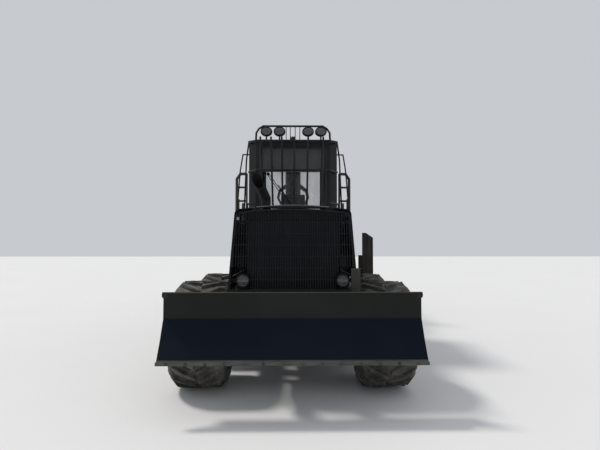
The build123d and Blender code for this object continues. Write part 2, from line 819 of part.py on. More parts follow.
# Blade with its push arms
with BuildPart() as blade:
    slab(
        side_plane(-blade_width / 2),
        [
            (blade_y, blade_top),
            (blade_y, blade_fold),
            (blade_y - knee_reach, blade_knee),
            (front_y + 20, blade_edge - edge_height),
            (front_y + 20 + blade_plate * 1.2, blade_edge - edge_height),
            (blade_y - knee_reach + blade_plate * 1.1, blade_knee),
            (blade_y + blade_plate, blade_fold),
            (blade_y + blade_plate, blade_top),
        ],
        blade_width,
    )
    brick((-blade_width / 2, front_y, blade_edge - edge_height), (blade_width / 2, front_y + 22, blade_edge))
    tube(
        (-blade_width / 2 - 15, blade_y + 25, blade_top - 20),
        (blade_width / 2 + 15, blade_y + 25, blade_top - 20),
        28,
    )
    brick((-blade_width / 2 + 60, blade_y + 10, 820), (blade_width / 2 - 60, blade_y + 120, 960))
    for side in (-1, 1):
        arm_x = side * arm_offset
        slab(
            side_plane(arm_x - arm_width / 2),
            [
                (blade_y + 15, 930),
                (blade_y - 60, blade_knee),
                (blade_y + 160, 560),
                (blade_pivot_y, blade_pivot_z - 75),
                (blade_pivot_y, blade_pivot_z + 75),
                (blade_y + 330, 720),
            ],
            arm_width,
        )
        tube(
            (arm_x - arm_width / 2, blade_pivot_y, blade_pivot_z),
            (arm_x + arm_width / 2, blade_pivot_y, blade_pivot_z),
            75,
        )
    with BuildSketch(side_plane(-arm_offset - arm_width)) as pin_holes:
        with Locations((blade_pivot_y, blade_pivot_z)):
            Circle(blade_pin_radius + fit_gap)
    extrude(pin_holes.sketch, amount=2 * (arm_offset + arm_width), mode=Mode.SUBTRACT)
    for side in (-1, 1):
        eye_y = blade_pivot_y - blade_eye_reach
        for offset in (-34, 34):
            cheek_x = side * (blade_eye_offset + offset)
            brick((cheek_x - 6, eye_y - 160, blade_eye_z - 45), (cheek_x + 6, eye_y + 45, blade_eye_z + 45))
        web_x = sorted((side * (blade_eye_offset - 40), side * arm_offset))
        brick((web_x[0], eye_y - 160, blade_eye_z - 45), (web_x[1], eye_y - 120, blade_eye_z + 45))
save(blade, "blade")


# Rear frame: front eye of the centre joint, neck, spine and end plate
eye_low = knuckle_low + knuckle_plate + 6
eye_high = knuckle_high - 6
with BuildPart() as rear_frame:
    with Locations((0, joint_y, eye_low)):
        Cylinder(joint_boss_radius - 15, eye_high - eye_low, align=(Align.CENTER, Align.CENTER, Align.MIN))
    brick((-110, joint_y, eye_low + 20), (110, joint_y + 420, eye_high - 20))
    slab(
        side_plane(-spine_half_width),
        [
            (joint_y + 330, eye_low - 30),
            (joint_y + 900, spine_low),
            (frame_end_y, spine_low),
            (frame_end_y, spine_high),
            (joint_y + 480, spine_high),
            (joint_y + 330, eye_high + 60),
        ],
        2 * spine_half_width,
    )
    for side in (-1, 1):
        for low in (steer_z - steer_eye_width / 2 - 35, steer_z + steer_eye_width / 2 + 5):
            plate_x = sorted((side * 90, side * (steer_eye_x + 70)))
            brick(
                (plate_x[0], joint_y + steer_eye_back - 70, low),
                (plate_x[1], joint_y + steer_eye_back + 190, low + 30),
            )
    brick((-900, frame_end_y - 40, spine_low + 60), (900, frame_end_y, spine_high))
    tube((0, pillar_y, spine_high - 10), (0, pillar_y, pillar_seat), 240)
    brick((-320, pillar_y - 110, spine_high - 10), (320, pillar_y + 110, spine_high + 60))
    for offset in (-1, 1):
        tube((-430, pillar_y + offset * 170, 1400), (430, pillar_y + offset * 170, 1400), 70)
    with BuildSketch(Plane.XY.offset(eye_low - 10)) as joint_bore:
        with Locations((0, joint_y)):
            Circle(joint_pin_radius + fit_gap)
    extrude(joint_bore.sketch, amount=eye_high - eye_low + 20, mode=Mode.SUBTRACT)
save(rear_frame, "rear_frame")


# Bunks: cross beams with a pair of stakes each
bunk_y0 = gate_y + bunk_first
bunk_pitch = (frame_end_y - bunk_last_gap - bunk_y0) / (bunk_count - 1)
with BuildPart() as bunks:
    for index in range(bunk_count):
        bunk_y = bunk_y0 + index * bunk_pitch
        brick(
            (-bunk_width / 2, bunk_y - bunk_depth / 2, spine_high + fit_gap),
            (bunk_width / 2, bunk_y + bunk_depth / 2, spine_high + bunk_height),
        )
        for side in (-1, 1):
            stake_x = side * (bunk_width / 2 - stake_section / 2)
            slab(
                Plane(origin=(0, bunk_y + stake_section / 2, 0), x_dir=(1, 0, 0), z_dir=(0, -1, 0)),
                [
                    (stake_x - stake_section / 2, spine_high + bunk_height),
                    (stake_x + stake_section / 2, spine_high + bunk_height),
                    (stake_x + stake_section * 0.3, stake_top),
                    (stake_x - stake_section * 0.3, stake_top),
                ],
                stake_section,
            )
save(bunks, "bunks")

# Load gate: low grid across the frame and a tall narrow ladder at each side
with BuildPart() as gate:
    gate_base = spine_high + fit_gap
    brick((-gate_half_width - gate_tube, gate_y - 50, gate_base), (gate_half_width + gate_tube, gate_y + 50, gate_base + 90))
    for side in (-1, 1):
        wing = [
            (gate_half_width, gate_base + 60), (gate_half_width, gate_top - 150),
            (gate_half_width - 80, gate_top - gate_tube), (gate_inner, gate_top - gate_tube),
        ]
        rail([(side * x, gate_y, z) for x, z in wing], gate_tube)
        tube((side * gate_inner, gate_y, gate_base + 60), (side * gate_inner, gate_y, gate_top - gate_tube + 5), gate_tube * 0.7)
        rung_z = gate_top - 340
        while rung_z > gate_low_top + 100:
            tube((side * gate_half_width, gate_y, rung_z), (side * gate_inner, gate_y, rung_z), gate_tube * 0.7)
            rung_z -= gate_rung_pitch
    tube((-gate_half_width, gate_y, gate_low_top), (gate_half_width, gate_y, gate_low_top), gate_tube)
    for index in range(-3, 4):
        tube((index * 260, gate_y, gate_base + 60), (index * 260, gate_y, gate_low_top), gate_tube * 0.6)
save(gate, "gate")

# Crane column that slews on the rear frame's foot

pivot_y = pillar_y + boom_pivot_offset
lift_base_y = pillar_y + 280
lift_base_z = 2050
boom_boss = boom_width / 2 - 30
with BuildPart() as pillar:
    tube((0, pillar_y, pillar_seat + fit_gap), (0, pillar_y, boom_pivot_z - 330), pillar_radius)
    for side in (-1, 1):
        cheek_x = side * (boom_boss + run_gap) if side > 0 else side * (boom_boss + run_gap + 28)
        slab(
            side_plane(cheek_x),
            [
                (pillar_y - pillar_radius, boom_pivot_z - 520),
                (pillar_y + pillar_radius, boom_pivot_z - 520),
                (pillar_y + 40, boom_pivot_z + 90),
                (pivot_y - 100, boom_pivot_z + 90),
            ],
            28,
        )
        lug_x = side * 36 if side > 0 else side * 60
        slab(
            side_plane(lug_x),
            [
                (pillar_y, lift_base_z - 160),
                (lift_base_y + 40, lift_base_z - 55),
                (lift_base_y + 40, lift_base_z + 55),
                (pillar_y, lift_base_z + 200),
            ],
            24,
        )
    tube((-boom_boss - 40, pivot_y, boom_pivot_z), (boom_boss + 40, pivot_y, boom_pivot_z), crane_pin_radius)
    tube((-62, lift_base_y, lift_base_z), (62, lift_base_y, lift_base_z), ram_pin_radius)
save(pillar, "pillar")

# Boom: a tapered box with its root boss, a fork at the tip and lugs for both rams
boom_dir = (0, cos(radians(boom_angle)), sin(radians(boom_angle)))


def boom_plane(x):
    """The boom's own plane at x: along the boom and square to it."""
    return Plane(origin=(x, pivot_y, boom_pivot_z), x_dir=boom_dir, z_dir=(1, 0, 0))


def boom_point(x, along, above):
    """A point given along and above the boom's line."""
    return tuple(boom_plane(x).from_local_coords((along, above, 0)))


boom_end = boom_length - 290
lift_eye = (620, -200)
stick_base = (1000, 300)
fork_half = 62
with BuildPart() as boom:
    slab(
        boom_plane(-boom_boss),
        [
            (0, -boom_root_depth / 2),
            (boom_end * 0.4, -boom_depth / 2),
            (boom_end, -100),
            (boom_end, 100),
            (boom_end * 0.4, boom_depth / 2),
            (0, boom_root_depth / 2),
        ],
        2 * boom_boss,
    )
    tube((-boom_boss, pivot_y, boom_pivot_z), (boom_boss, pivot_y, boom_pivot_z), boom_root_depth / 2)
    for side in (-1, 1):
        fork_x = side * (fork_half + 5) if side > 0 else side * (fork_half + 30)
        slab(
            boom_plane(fork_x),
            [(boom_length - 500, -95), (boom_length, -80), (boom_length + 60, 0), (boom_length, 80), (boom_length - 500, 95)],
            25,
        )
        lug_x = side * 36 if side > 0 else side * 58
        slab(
            boom_plane(lug_x),
            [(lift_eye[0] - 130, -90), (lift_eye[0] - 50, -250), (lift_eye[0] + 50, -250), (lift_eye[0] + 130, -90)],
            22,
        )
        slab(
            boom_plane(lug_x),
            [(stick_base[0] - 130, 100), (stick_base[0] - 45, 350), (stick_base[0] + 45, 350), (stick_base[0] + 130, 100)],
            22,
        )
    tube(boom_point(-fork_half - 30, boom_length, 0), boom_point(fork_half + 30, boom_length, 0), crane_pin_radius)
    tube(boom_point(-60, *stick_base), boom_point(60, *stick_base), ram_pin_radius)
    with BuildSketch(boom_plane(-boom_boss - 10)) as root_bore:
        Circle(crane_pin_radius + fit_gap)
    extrude(root_bore.sketch, amount=2 * boom_boss + 20, mode=Mode.SUBTRACT)
save(boom, "boom")

# Stick: a box open at its tip, with a boss in the boom's fork and a lever for its ram
elbow = boom_point(0, boom_length, 0)
lever_length = 360
lever_angle = 135 + boom_angle


def stick_plane(x):
    """The stick's own plane at x. The stick lies level at rest."""
    return Plane(origin=(x, elbow[1], elbow[2]), x_dir=(0, 1, 0), z_dir=(1, 0, 0))


lever_tip = (lever_length * cos(radians(lever_angle)), lever_length * sin(radians(lever_angle)))
with BuildPart() as stick:
    with BuildSketch(stick_plane(-fork_half)) as boss:
        Circle(85)
    extrude(boss.sketch, amount=2 * fork_half)
    slab(
        stick_plane(-fork_half),
        [(0, -80), (190, -100), (190, 100), (0, 80)],
        2 * fork_half,
    )
    brick(
        (-stick_width / 2, elbow[1] + 160, elbow[2] - stick_depth / 2),
        (stick_width / 2, elbow[1] + stick_length - 160, elbow[2] + stick_depth / 2),
    )
    for side in (-1, 1):
        lever_x = side * 36 if side > 0 else side * 58
        slab(
            stick_plane(lever_x),
            [
                (60, 60),
                (lever_tip[0] + 40, lever_tip[1] + 45),
                (lever_tip[0] - 45, lever_tip[1] + 20),
                (lever_tip[0] - 30, lever_tip[1] - 45),
                (-75, -30),
            ],
            22,
        )
    brick(
        (-extension_width / 2 - 0.6, elbow[1] + 260, elbow[2] - extension_depth / 2 - 0.6),
        (extension_width / 2 + 0.6, elbow[1] + stick_length, elbow[2] + extension_depth / 2 + 0.6),
        mode=Mode.SUBTRACT,
    )
    with BuildSketch(stick_plane(-fork_half - 5)) as elbow_bore:
        Circle(crane_pin_radius + fit_gap)
    extrude(elbow_bore.sketch, amount=2 * fork_half + 10, mode=Mode.SUBTRACT)
save(stick, "stick")

# Extension: the inner box that slides out, with the hanger's fork at its tip
tip_y = elbow[1] + stick_length
with BuildPart() as extension:
    brick(
        (-extension_width / 2, elbow[1] + 280, elbow[2] - extension_depth / 2),
        (extension_width / 2, tip_y - 150, elbow[2] + extension_depth / 2),
    )
    for side in (-1, 1):
        cheek_x = side * 40 if side > 0 else side * 62
        slab(side_plane(cheek_x), [(tip_y - 155, elbow[2] - 60), (tip_y + 45, elbow[2] - 45), (tip_y + 45, elbow[2] + 45), (tip_y - 155, elbow[2] + 60)], 22)
    tube((-62, tip_y, elbow[2]), (62, tip_y, elbow[2]), ram_pin_radius)
save(extension, "extension")

# Hanger, rotator and grapple, hanging from the tip
hanger_drop = 220
rotator_top = elbow[2] - hanger_drop
with BuildPart() as hanger:
    tube((-35, tip_y, elbow[2]), (35, tip_y, elbow[2]), 45)
    brick((-35, tip_y - 35, rotator_top + 52), (35, tip_y + 35, elbow[2] - 20))
    tube((0, tip_y - 75, rotator_top), (0, tip_y + 75, rotator_top), ram_pin_radius)
    for end in (-1, 1):
        plate_y = tip_y + end * 65
        brick((-35, plate_y - 10, rotator_top - 35), (35, plate_y + 10, rotator_top + 70))
    brick((-35, tip_y - 75, rotator_top + 52), (35, tip_y + 75, rotator_top + 72))
    with BuildSketch(side_plane(-50)) as hanger_bore:
        with Locations((tip_y, elbow[2])):
            Circle(ram_pin_radius + fit_gap)
    extrude(hanger_bore.sketch, amount=100, mode=Mode.SUBTRACT)
save(hanger, "hanger")

shaft_radius = 50
with BuildPart() as rotator:
    tube((0, tip_y - 50, rotator_top), (0, tip_y + 50, rotator_top), 45)
    brick((-40, tip_y - 50, rotator_top - 100), (40, tip_y + 50, rotator_top - 10))
    tube((0, tip_y, rotator_top - 260), (0, tip_y, rotator_top - 90), 110)
    tube((0, tip_y, rotator_top - 320), (0, tip_y, rotator_top - 250), shaft_radius)
    with BuildSketch(Plane.XZ.offset(-tip_y - 60)) as rotator_bore:
        with Locations((0, rotator_top)):
            Circle(ram_pin_radius + fit_gap)
    extrude(rotator_bore.sketch, amount=120, mode=Mode.SUBTRACT)
save(rotator, "rotator")

jaw_hinge_x = 130
jaw_hinge_z = rotator_top - 510
grapple_half = 190
with BuildPart() as grapple_frame:
    tube((0, tip_y, rotator_top - 345), (0, tip_y, rotator_top - 266), 100)
    brick((-60, tip_y - grapple_half, rotator_top - 440), (60, tip_y + grapple_half, rotator_top - 340))
    for end in (-1, 1):
        cheek_y = tip_y + end * (grapple_half - 10)
        with BuildSketch(Plane.XZ.offset(-cheek_y - 10)) as cheek:
            with Locations((0, jaw_hinge_z)):
                SlotCenterToCenter(2 * jaw_hinge_x, 120)
            with Locations((0, jaw_hinge_z + 80)):
                Rectangle(120, 160)
        extrude(cheek.sketch, amount=20)
    for side in (-1, 1):
        tube(
            (side * jaw_hinge_x, tip_y - grapple_half, jaw_hinge_z),
            (side * jaw_hinge_x, tip_y + grapple_half, jaw_hinge_z),
            ram_pin_radius,
        )
    with BuildSketch(Plane.XY.offset(rotator_top - 330)) as shaft_bore:
        with Locations((0, tip_y)):
            Circle(shaft_radius + fit_gap)
    extrude(shaft_bore.sketch, amount=80, mode=Mode.SUBTRACT)
save(grapple_frame, "grapple_frame")

jaws = [
    # name, side, half the width over its fingers
    ("jaw_left", 1, 160),
    ("jaw_right", -1, 120),
]
claw = [
    (-30, 40), (110, 40), (320, -140), (370, -370), (270, -570), (30, -700),
    (-60, -690), (220, -540), (300, -370), (260, -180), (80, -50), (-30, -40),
]
wrap = [(370, -370), (270, -570), (30, -700), (-60, -690), (40, -680), (262, -560), (358, -370)]
for name, side, half in jaws:
    with BuildPart() as jaw:
        hinge_x = side * jaw_hinge_x
        tube((hinge_x, tip_y - half, jaw_hinge_z), (hinge_x, tip_y + half, jaw_hinge_z), 50)
        for end in (-1, 1):
            finger_y = tip_y + end * (half - 10)
            slab(
                Plane(origin=(hinge_x, finger_y + 10, jaw_hinge_z), x_dir=(1, 0, 0), z_dir=(0, -1, 0)),
                [(side * x, z) for x, z in claw],
                20,
            )
        slab(
            Plane(origin=(hinge_x, tip_y + half - 10, jaw_hinge_z), x_dir=(1, 0, 0), z_dir=(0, -1, 0)),
            [(side * 372, -370), (side * 272, -572), (side * 110, -660), (side * 110, -645), (side * 262, -560), (side * 356, -370)],
            2 * half - 20,
        )
        with BuildSketch(Plane.XZ.offset(-tip_y - 300)) as hinge_bore:
            with Locations((hinge_x, jaw_hinge_z)):
                Circle(ram_pin_radius + fit_gap)
        extrude(hinge_bore.sketch, amount=600, mode=Mode.SUBTRACT)
    save(jaw, name)

# Rams: each has a barrel with a base eye and a rod with its own eye
blade_ram_base = (0, blade_ram_y, blade_ram_z)
blade_ram_eye = (0, blade_pivot_y - blade_eye_reach, blade_eye_z)
rams = [
    # name, base, eye, shank, barrel length, rod length, barrel radius, rod radius, eye width, pin, side offsets
    ("blade", blade_ram_base, blade_ram_eye, 85, 368, 300, 42, 22, 46, (1, 0, 0), (-blade_eye_offset, blade_eye_offset)),
    (
        "steer_right", (-steer_base_x, joint_y - steer_base_back, steer_z),
        (-steer_eye_x, joint_y + steer_eye_back, steer_z), 130, 700, 715, 42, 22, steer_eye_width - 10, (0, 0, 1), (0,),
    ),
    (
        "steer_left", (steer_base_x, joint_y - steer_base_back, steer_z),
        (steer_eye_x, joint_y + steer_eye_back, steer_z), 130, 700, 715, 42, 22, steer_eye_width - 10, (0, 0, 1), (0,),
    ),
    ("lift", (0, lift_base_y, lift_base_z), boom_point(0, *lift_eye), 150, 1050, 1117, 62, 32, 60, (1, 0, 0), (0,)),
    (
        "stick", boom_point(0, *stick_base), (0, elbow[1] + lever_tip[0], elbow[2] + lever_tip[1]),
        120, 1250, 1295, 52, 28, 60, (1, 0, 0), (0,),
    ),
]
for name, base, eye, shank, barrel_length, rod_length, barrel_radius, rod_radius, eye_width, pin, offsets in rams:
    run = Vector(*eye) - Vector(*base)
    along = run.normalized()
    pin_dir = Vector(*pin)
    with BuildPart() as barrel:
        for offset in offsets:
            start = Vector(*base) + Vector(offset, 0, 0)
            mouth = start + along * barrel_length
            tube(tuple(start), tuple(start + along * (shank + 5)), eye_width / 2 - 3)
            tube(tuple(start + along * shank), tuple(mouth), barrel_radius)
            tube(tuple(mouth - along * 60), tuple(mouth), barrel_radius + 6)
            tube(tuple(start - pin_dir * (eye_width / 2)), tuple(start + pin_dir * (eye_width / 2)), barrel_radius + 4)
            with Locations(Plane(origin=tuple(start + along * (shank + 12)), z_dir=along).location):
                Cylinder(rod_radius + fit_gap, barrel_length, align=(Align.CENTER, Align.CENTER, Align.MIN), mode=Mode.SUBTRACT)
            with Locations(Plane(origin=tuple(start - pin_dir * eye_width), z_dir=pin_dir).location):
                Cylinder(
                    ram_pin_radius + fit_gap, 2 * eye_width,
                    align=(Align.CENTER, Align.CENTER, Align.MIN), mode=Mode.SUBTRACT,
                )
    save(barrel, f"{name}_barrel")
    with BuildPart() as rod:
        for offset in offsets:
            tip = Vector(*eye) + Vector(offset, 0, 0)
            tube(tuple(tip - along * rod_length), tuple(tip), rod_radius)
            tube(tuple(tip - pin_dir * (eye_width / 2)), tuple(tip + pin_dir * (eye_width / 2)), rod_radius + 20)
    save(rod, f"{name}_rod")

# Rear hitch: two plates with one upright pin bore
hitch_bore = 25
hitch_y = overall_length / 2 - 55
hitch_low = 950
hitch_gap = 75
hitch_plate = 25
with BuildPart() as rear_hitch:
    brick((-90, frame_end_y + fit_gap, hitch_low - 40), (90, frame_end_y + 22, hitch_low + hitch_gap + 90))
    for low in (hitch_low, hitch_low + hitch_plate + hitch_gap):
        brick((-60, frame_end_y + 10, low), (60, overall_length / 2, low + hitch_plate))
    with BuildSketch(Plane.XY.offset(hitch_low - 30)) as hitch_hole:
        with Locations((0, hitch_y)):
            Circle(hitch_bore)
    extrude(hitch_hole.sketch, amount=hitch_gap + 2 * hitch_plate + 60, mode=Mode.SUBTRACT)
save(rear_hitch, "rear_hitch")
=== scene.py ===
# %% [markdown]
# # An eight-wheeled forwarder, dressed for its portrait
# The solid model of the machine comes in first as a fixed frame. Every later cell either gives
# one of its pieces a finish or adds the small things that a solid model leaves out.

# %% Load the frame
from math import cos, pi, radians, sin

import bmesh
import bpy
from mathutils import Matrix, Vector


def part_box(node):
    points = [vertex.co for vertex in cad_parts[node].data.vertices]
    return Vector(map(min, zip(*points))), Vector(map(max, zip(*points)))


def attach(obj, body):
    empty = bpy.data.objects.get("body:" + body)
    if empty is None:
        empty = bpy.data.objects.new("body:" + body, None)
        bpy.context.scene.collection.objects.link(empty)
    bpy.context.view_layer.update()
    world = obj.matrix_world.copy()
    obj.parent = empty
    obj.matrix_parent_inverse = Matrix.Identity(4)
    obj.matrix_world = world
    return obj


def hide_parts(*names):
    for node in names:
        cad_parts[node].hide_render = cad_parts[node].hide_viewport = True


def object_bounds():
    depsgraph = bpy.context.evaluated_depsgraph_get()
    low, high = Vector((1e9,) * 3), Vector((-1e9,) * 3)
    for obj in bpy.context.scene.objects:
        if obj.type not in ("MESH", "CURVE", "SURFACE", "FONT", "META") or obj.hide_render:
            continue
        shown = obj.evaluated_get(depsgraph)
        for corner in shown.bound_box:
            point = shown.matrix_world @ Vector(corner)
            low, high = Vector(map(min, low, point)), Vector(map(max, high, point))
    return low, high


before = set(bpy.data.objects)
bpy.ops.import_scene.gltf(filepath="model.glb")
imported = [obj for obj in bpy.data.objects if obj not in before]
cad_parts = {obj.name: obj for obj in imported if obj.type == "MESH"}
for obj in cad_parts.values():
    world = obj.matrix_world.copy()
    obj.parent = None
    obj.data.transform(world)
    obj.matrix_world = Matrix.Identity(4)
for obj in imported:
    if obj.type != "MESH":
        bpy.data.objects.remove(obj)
cad_box = [list(corner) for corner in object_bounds()]
print("frame runs from", cad_box[0], "to", cad_box[1])

# %% [markdown]
# ## Shader maths as plain Python
# Node trees are hard to read as lists of links. A socket wrapped in a small class lets the maths
# be written as an expression, and one method makes every other node.


# %% Sockets that add and multiply
class Signal:
    """One output of a node, which adds, subtracts and multiplies like a number."""

    def __init__(self, finish, socket):
        self.finish = finish
        self.socket = socket

    def maths(self, operation, first, second):
        return self.finish.node("Math", {"operation": operation}, {0: first, 1: second})

    def __add__(self, other):
        return self.maths("ADD", self, other)

    def __radd__(self, other):
        return self.maths("ADD", other, self)

    def __sub__(self, other):
        return self.maths("SUBTRACT", self, other)

    def __rsub__(self, other):
        return self.maths("SUBTRACT", other, self)

    def __mul__(self, other):
        return self.maths("MULTIPLY", self, other)

    def __rmul__(self, other):
        return self.maths("MULTIPLY", other, self)

    def above(self, edge, softness):
        """0 below an edge and 1 above it, with a soft step between."""
        limits = {0: self, 1: edge - softness, 2: edge + softness}
        return self.finish.node("MapRange", {"interpolation_type": "SMOOTHSTEP"}, limits)


# %% [markdown]
# A finish is one material. It holds its node tree and reads the surface in Object coordinates,
# so that a pattern sits still on the piece and has its real size in metres.


# %% One class for a material
class Finish:
    """A material that is built up with node() and closed with surface()."""

    def __init__(self, name):
        self.material = bpy.data.materials.new(name)
        self.material.use_nodes = True
        self.tree = self.material.node_tree
        self.shader = self.tree.nodes["Principled BSDF"]
        self.place = self.node("TexCoord", {}, {}, "Object")

    def feed(self, socket, value):
        if isinstance(value, Signal):
            self.tree.links.new(value.socket, socket)
        elif value is not None:
            socket.default_value = value

    def node(self, kind, settings, sockets, output=0):
        made = self.tree.nodes.new("ShaderNode" + kind)
        for key, value in settings.items():
            setattr(made, key, value)
        for key, value in sockets.items():
            self.feed(made.inputs[key], value)
        return Signal(self, made.outputs[output])

    def noise(self, scale, detail=3.0, stretch=(1, 1, 1), roughness=0.55):
        mapped = self.node("Mapping", {}, {"Vector": self.place, "Scale": stretch})
        sockets = {"Vector": mapped, "Scale": scale, "Detail": detail, "Roughness": roughness}
        return self.node("TexNoise", {}, sockets, "Fac")

    def height(self):
        return self.node("SeparateXYZ", {}, {0: self.place}, "Z")

    def upward(self):
        """How far a surface faces up, from -1 to 1."""
        normal = self.node("NewGeometry", {}, {}, "Normal")
        return self.node("SeparateXYZ", {}, {0: normal}, "Z")

    def blend(self, amount, low, high):
        return self.node("Mix", {"data_type": "RGBA"}, {0: amount, 6: low, 7: high}, 2)

    def bump(self, pattern, strength, depth):
        return self.node("Bump", {}, {"Strength": strength, "Distance": depth, "Height": pattern})

    def surface(self, **values):
        for key, value in values.items():
            self.feed(self.shader.inputs[key.replace("_", " ")], value)
        return self.material


def shade(level, tint=(1.0, 1.0, 1.0)):
    return (level * tint[0], level * tint[1], level * tint[2], 1.0)


DUST = (0.19, 0.155, 0.115, 1.0)

# %% [markdown]
# ## Paint on a working machine
# Forestry paint is never one colour. It fades in clouds, dust settles on what faces up and on
# what is near the ground, and small scratches show a paler scuff. Each of these is one mask.


# %% Weathered paint
def weathered_paint(name, colour, faded, roughness=0.42, dust=0.5, scuff=0.3, coat=0.15, low_reach=1.5):
    finish = Finish(name)
    clouds = finish.noise(1.7, 5.0)
    grains = finish.noise(60.0, 3.0)
    speckle = finish.noise(14.0, 6.0, roughness=0.7)
    scratches = finish.noise(9.0, 8.0, (1.0, 6.0, 0.5), 0.75)
    streaks = finish.noise(5.0, 4.0, (5.0, 5.0, 0.35))
    low_down = 1.0 - finish.height().above(low_reach * 0.55, low_reach * 0.5)
    facing_up = finish.upward().above(0.65, 0.3)
    settled = (facing_up * 0.75 + low_down * 0.8) * speckle.above(0.47, 0.22) * dust
    rain = streaks.above(0.56, 0.1) * 0.25 * dust
    worn = scratches.above(0.68, 0.035) * scuff
    body = finish.blend(clouds.above(0.5, 0.2), colour, faded)
    scuffed = finish.blend(worn, body, shade(0.32, (1.0, 0.98, 0.94)))
    rained = finish.blend(rain, scuffed, DUST)
    dusty = finish.blend(settled, rained, DUST)
    return finish.surface(
        Base_Color=dusty,
        Roughness=roughness + settled * 0.35 + clouds * 0.1 + rain * 0.2,
        Coat_Weight=coat * (1.0 - settled),
        Specular_IOR_Level=0.15,
        Normal=finish.bump(grains * 0.5 + speckle * 0.5 + worn * -0.6, 0.12, 0.0015),
    )


# %% [markdown]
# The machine is nearly black at the hood and blade, and a little greyer at the cab and its guards.
# The colours below were judged and are the same family at different depths.

# %% The paints
# The blue cast in the hood and cab colours is painted shade: the tint of skylight on paint out of the sun.
hood_black = weathered_paint(
    "hood_black", shade(0.006, (0.75, 0.95, 1.5)), shade(0.01, (0.8, 1, 1.3)), 0.4, 0.12, 0.14, 0.05
)
cab_grey = weathered_paint(
    "cab_grey", shade(0.009, (0.85, 1, 1.2)), shade(0.014, (0.9, 1, 1.1)), 0.42, 0.15, 0.12, 0.05
)
frame_black = weathered_paint("frame_black", shade(0.013), shade(0.024, (1.05, 1, 0.92)), 0.55, 0.6, 0.3, 0.0)
guard_grey = weathered_paint(
    "guard_grey", shade(0.014, (1, 1, 1.02)), shade(0.026, (1.02, 1, 0.97)), 0.5, 0.2, 0.3, 0.0
)
crane_grey = weathered_paint("crane_grey", shade(0.018, (0.95, 1, 1.05)), shade(0.03), 0.45, 0.3, 0.6, 0.05)
bunk_grey = weathered_paint("bunk_grey", shade(0.028), shade(0.06, (1.1, 1, 0.88)), 0.58, 0.45, 0.9, 0.0)
rim_black = weathered_paint("rim_black", shade(0.018), shade(0.032), 0.5, 0.8, 0.35, 0.0, 1.2)
plate_olive = weathered_paint(
    "plate_olive", shade(0.04, (1.0, 1.06, 0.93)), shade(0.055, (1, 1.04, 0.93)), 0.6, 0.3, 0.35, 0.0
)

# %% [markdown]
# ## The blade
# Its upper band is a dull olive grey, partly paint and partly a painted reflection of the ground, and the
# plate below is navy black, partly paint and partly a painted reflection of the sky. The thin cutting edge
# along the bottom is worn pale. Height on the plate chooses between the three.


# %% Blade finish
upper_band = 0.905
edge_top = 0.553


def blade_finish():
    finish = Finish("blade_plate")
    height = finish.height()
    clouds = finish.noise(1.3, 5.0)
    dents = finish.noise(4.5, 4.0)
    speckle = finish.noise(22.0, 6.0, roughness=0.7)
    rubs = finish.noise(7.0, 8.0, (0.6, 1.0, 5.0), 0.75)
    upper = height.above(upper_band, 0.012)
    edge = 1.0 - height.above(edge_top, 0.005)
    # The olive grey is partly paint and partly a painted reflection of the ground, and the navy black is
    # partly paint and partly a painted reflection of the sky.
    olive = finish.blend(
        clouds.above(0.5, 0.25), shade(0.014, (0.98, 1.06, 1.02)), shade(0.02, (1, 1.05, 1.0))
    )
    navy = finish.blend(
        clouds.above(0.52, 0.25), shade(0.005, (0.4, 0.95, 2.3)), shade(0.009, (0.5, 0.95, 1.9))
    )
    painted = finish.blend(upper, navy, olive)
    bare = edge * (0.35 + rubs.above(0.45, 0.2) * 0.5) + rubs.above(0.74, 0.03) * 0.06
    metal = finish.blend(bare, painted, shade(0.13, (1.0, 1.0, 0.93)))
    dust = finish.upward().above(0.75, 0.2) * speckle * 0.35
    return finish.surface(
        Base_Color=finish.blend(dust, metal, DUST),
        Metallic=bare * 0.5,
        Roughness=0.44 + clouds * 0.12 + dust * 0.3,
        Specular_IOR_Level=0.1,
        Normal=finish.bump(dents * 1.4 + speckle * 0.15, 0.2, 0.004),
    )


blade_plate = blade_finish()

# %% [markdown]
# ## Rubber, glass, chrome and the rest
# Tyres are black only when new. On the job the tread is polished grey by soil and the side walls
# hold pale dust.


# %% Tyre rubber
def tyre_finish():
    finish = Finish("tyre_rubber")
    cakes = finish.noise(6.0, 7.0, roughness=0.68)
    grains = finish.noise(95.0, 4.0)
    clouds = finish.noise(1.9, 3.0)
    mud = cakes.above(0.52, 0.2) * 0.6
    film = clouds.above(0.5, 0.3) * 0.4
    rubber = finish.blend(film, shade(0.018, (1.0, 0.99, 0.97)), shade(0.07, (1.05, 1, 0.92)))
    caked = finish.blend(mud, rubber, shade(0.22, (1.06, 0.99, 0.87)))
    return finish.surface(
        Base_Color=caked,
        Roughness=0.72 + mud * 0.22 - film * 0.08,
        Normal=finish.bump(grains * 0.3 + cakes * 0.9, 0.35, 0.004),
    )


def plain_finish(name, colour, roughness, metallic=0.0, grain=80.0, bump=0.1, drift=0.25, **more):
    finish = Finish(name)
    clouds = finish.noise(3.0, 4.0)
    fine = finish.noise(grain, 3.0)
    darker = tuple(part * (1.0 - drift) for part in colour[:3]) + (1.0,)
    return finish.surface(
        Base_Color=finish.blend(clouds.above(0.5, 0.3), darker, colour),
        Roughness=roughness + fine * 0.08,
        Metallic=metallic,
        Normal=finish.bump(fine, bump, 0.001),
        **more,
    )


def rusty_steel():
    finish = Finish("exhaust_steel")
    blooms = finish.noise(11.0, 7.0, roughness=0.7)
    soot = finish.height().above(2.4, 0.12)
    steel = finish.blend(blooms.above(0.55, 0.1), shade(0.012), shade(0.03, (1.2, 0.95, 0.75)))
    return finish.surface(
        Base_Color=finish.blend(soot * 0.75, steel, shade(0.01)),
        Roughness=0.55 + blooms * 0.25,
        Specular_IOR_Level=0.2,
        Normal=finish.bump(blooms, 0.3, 0.002),
    )


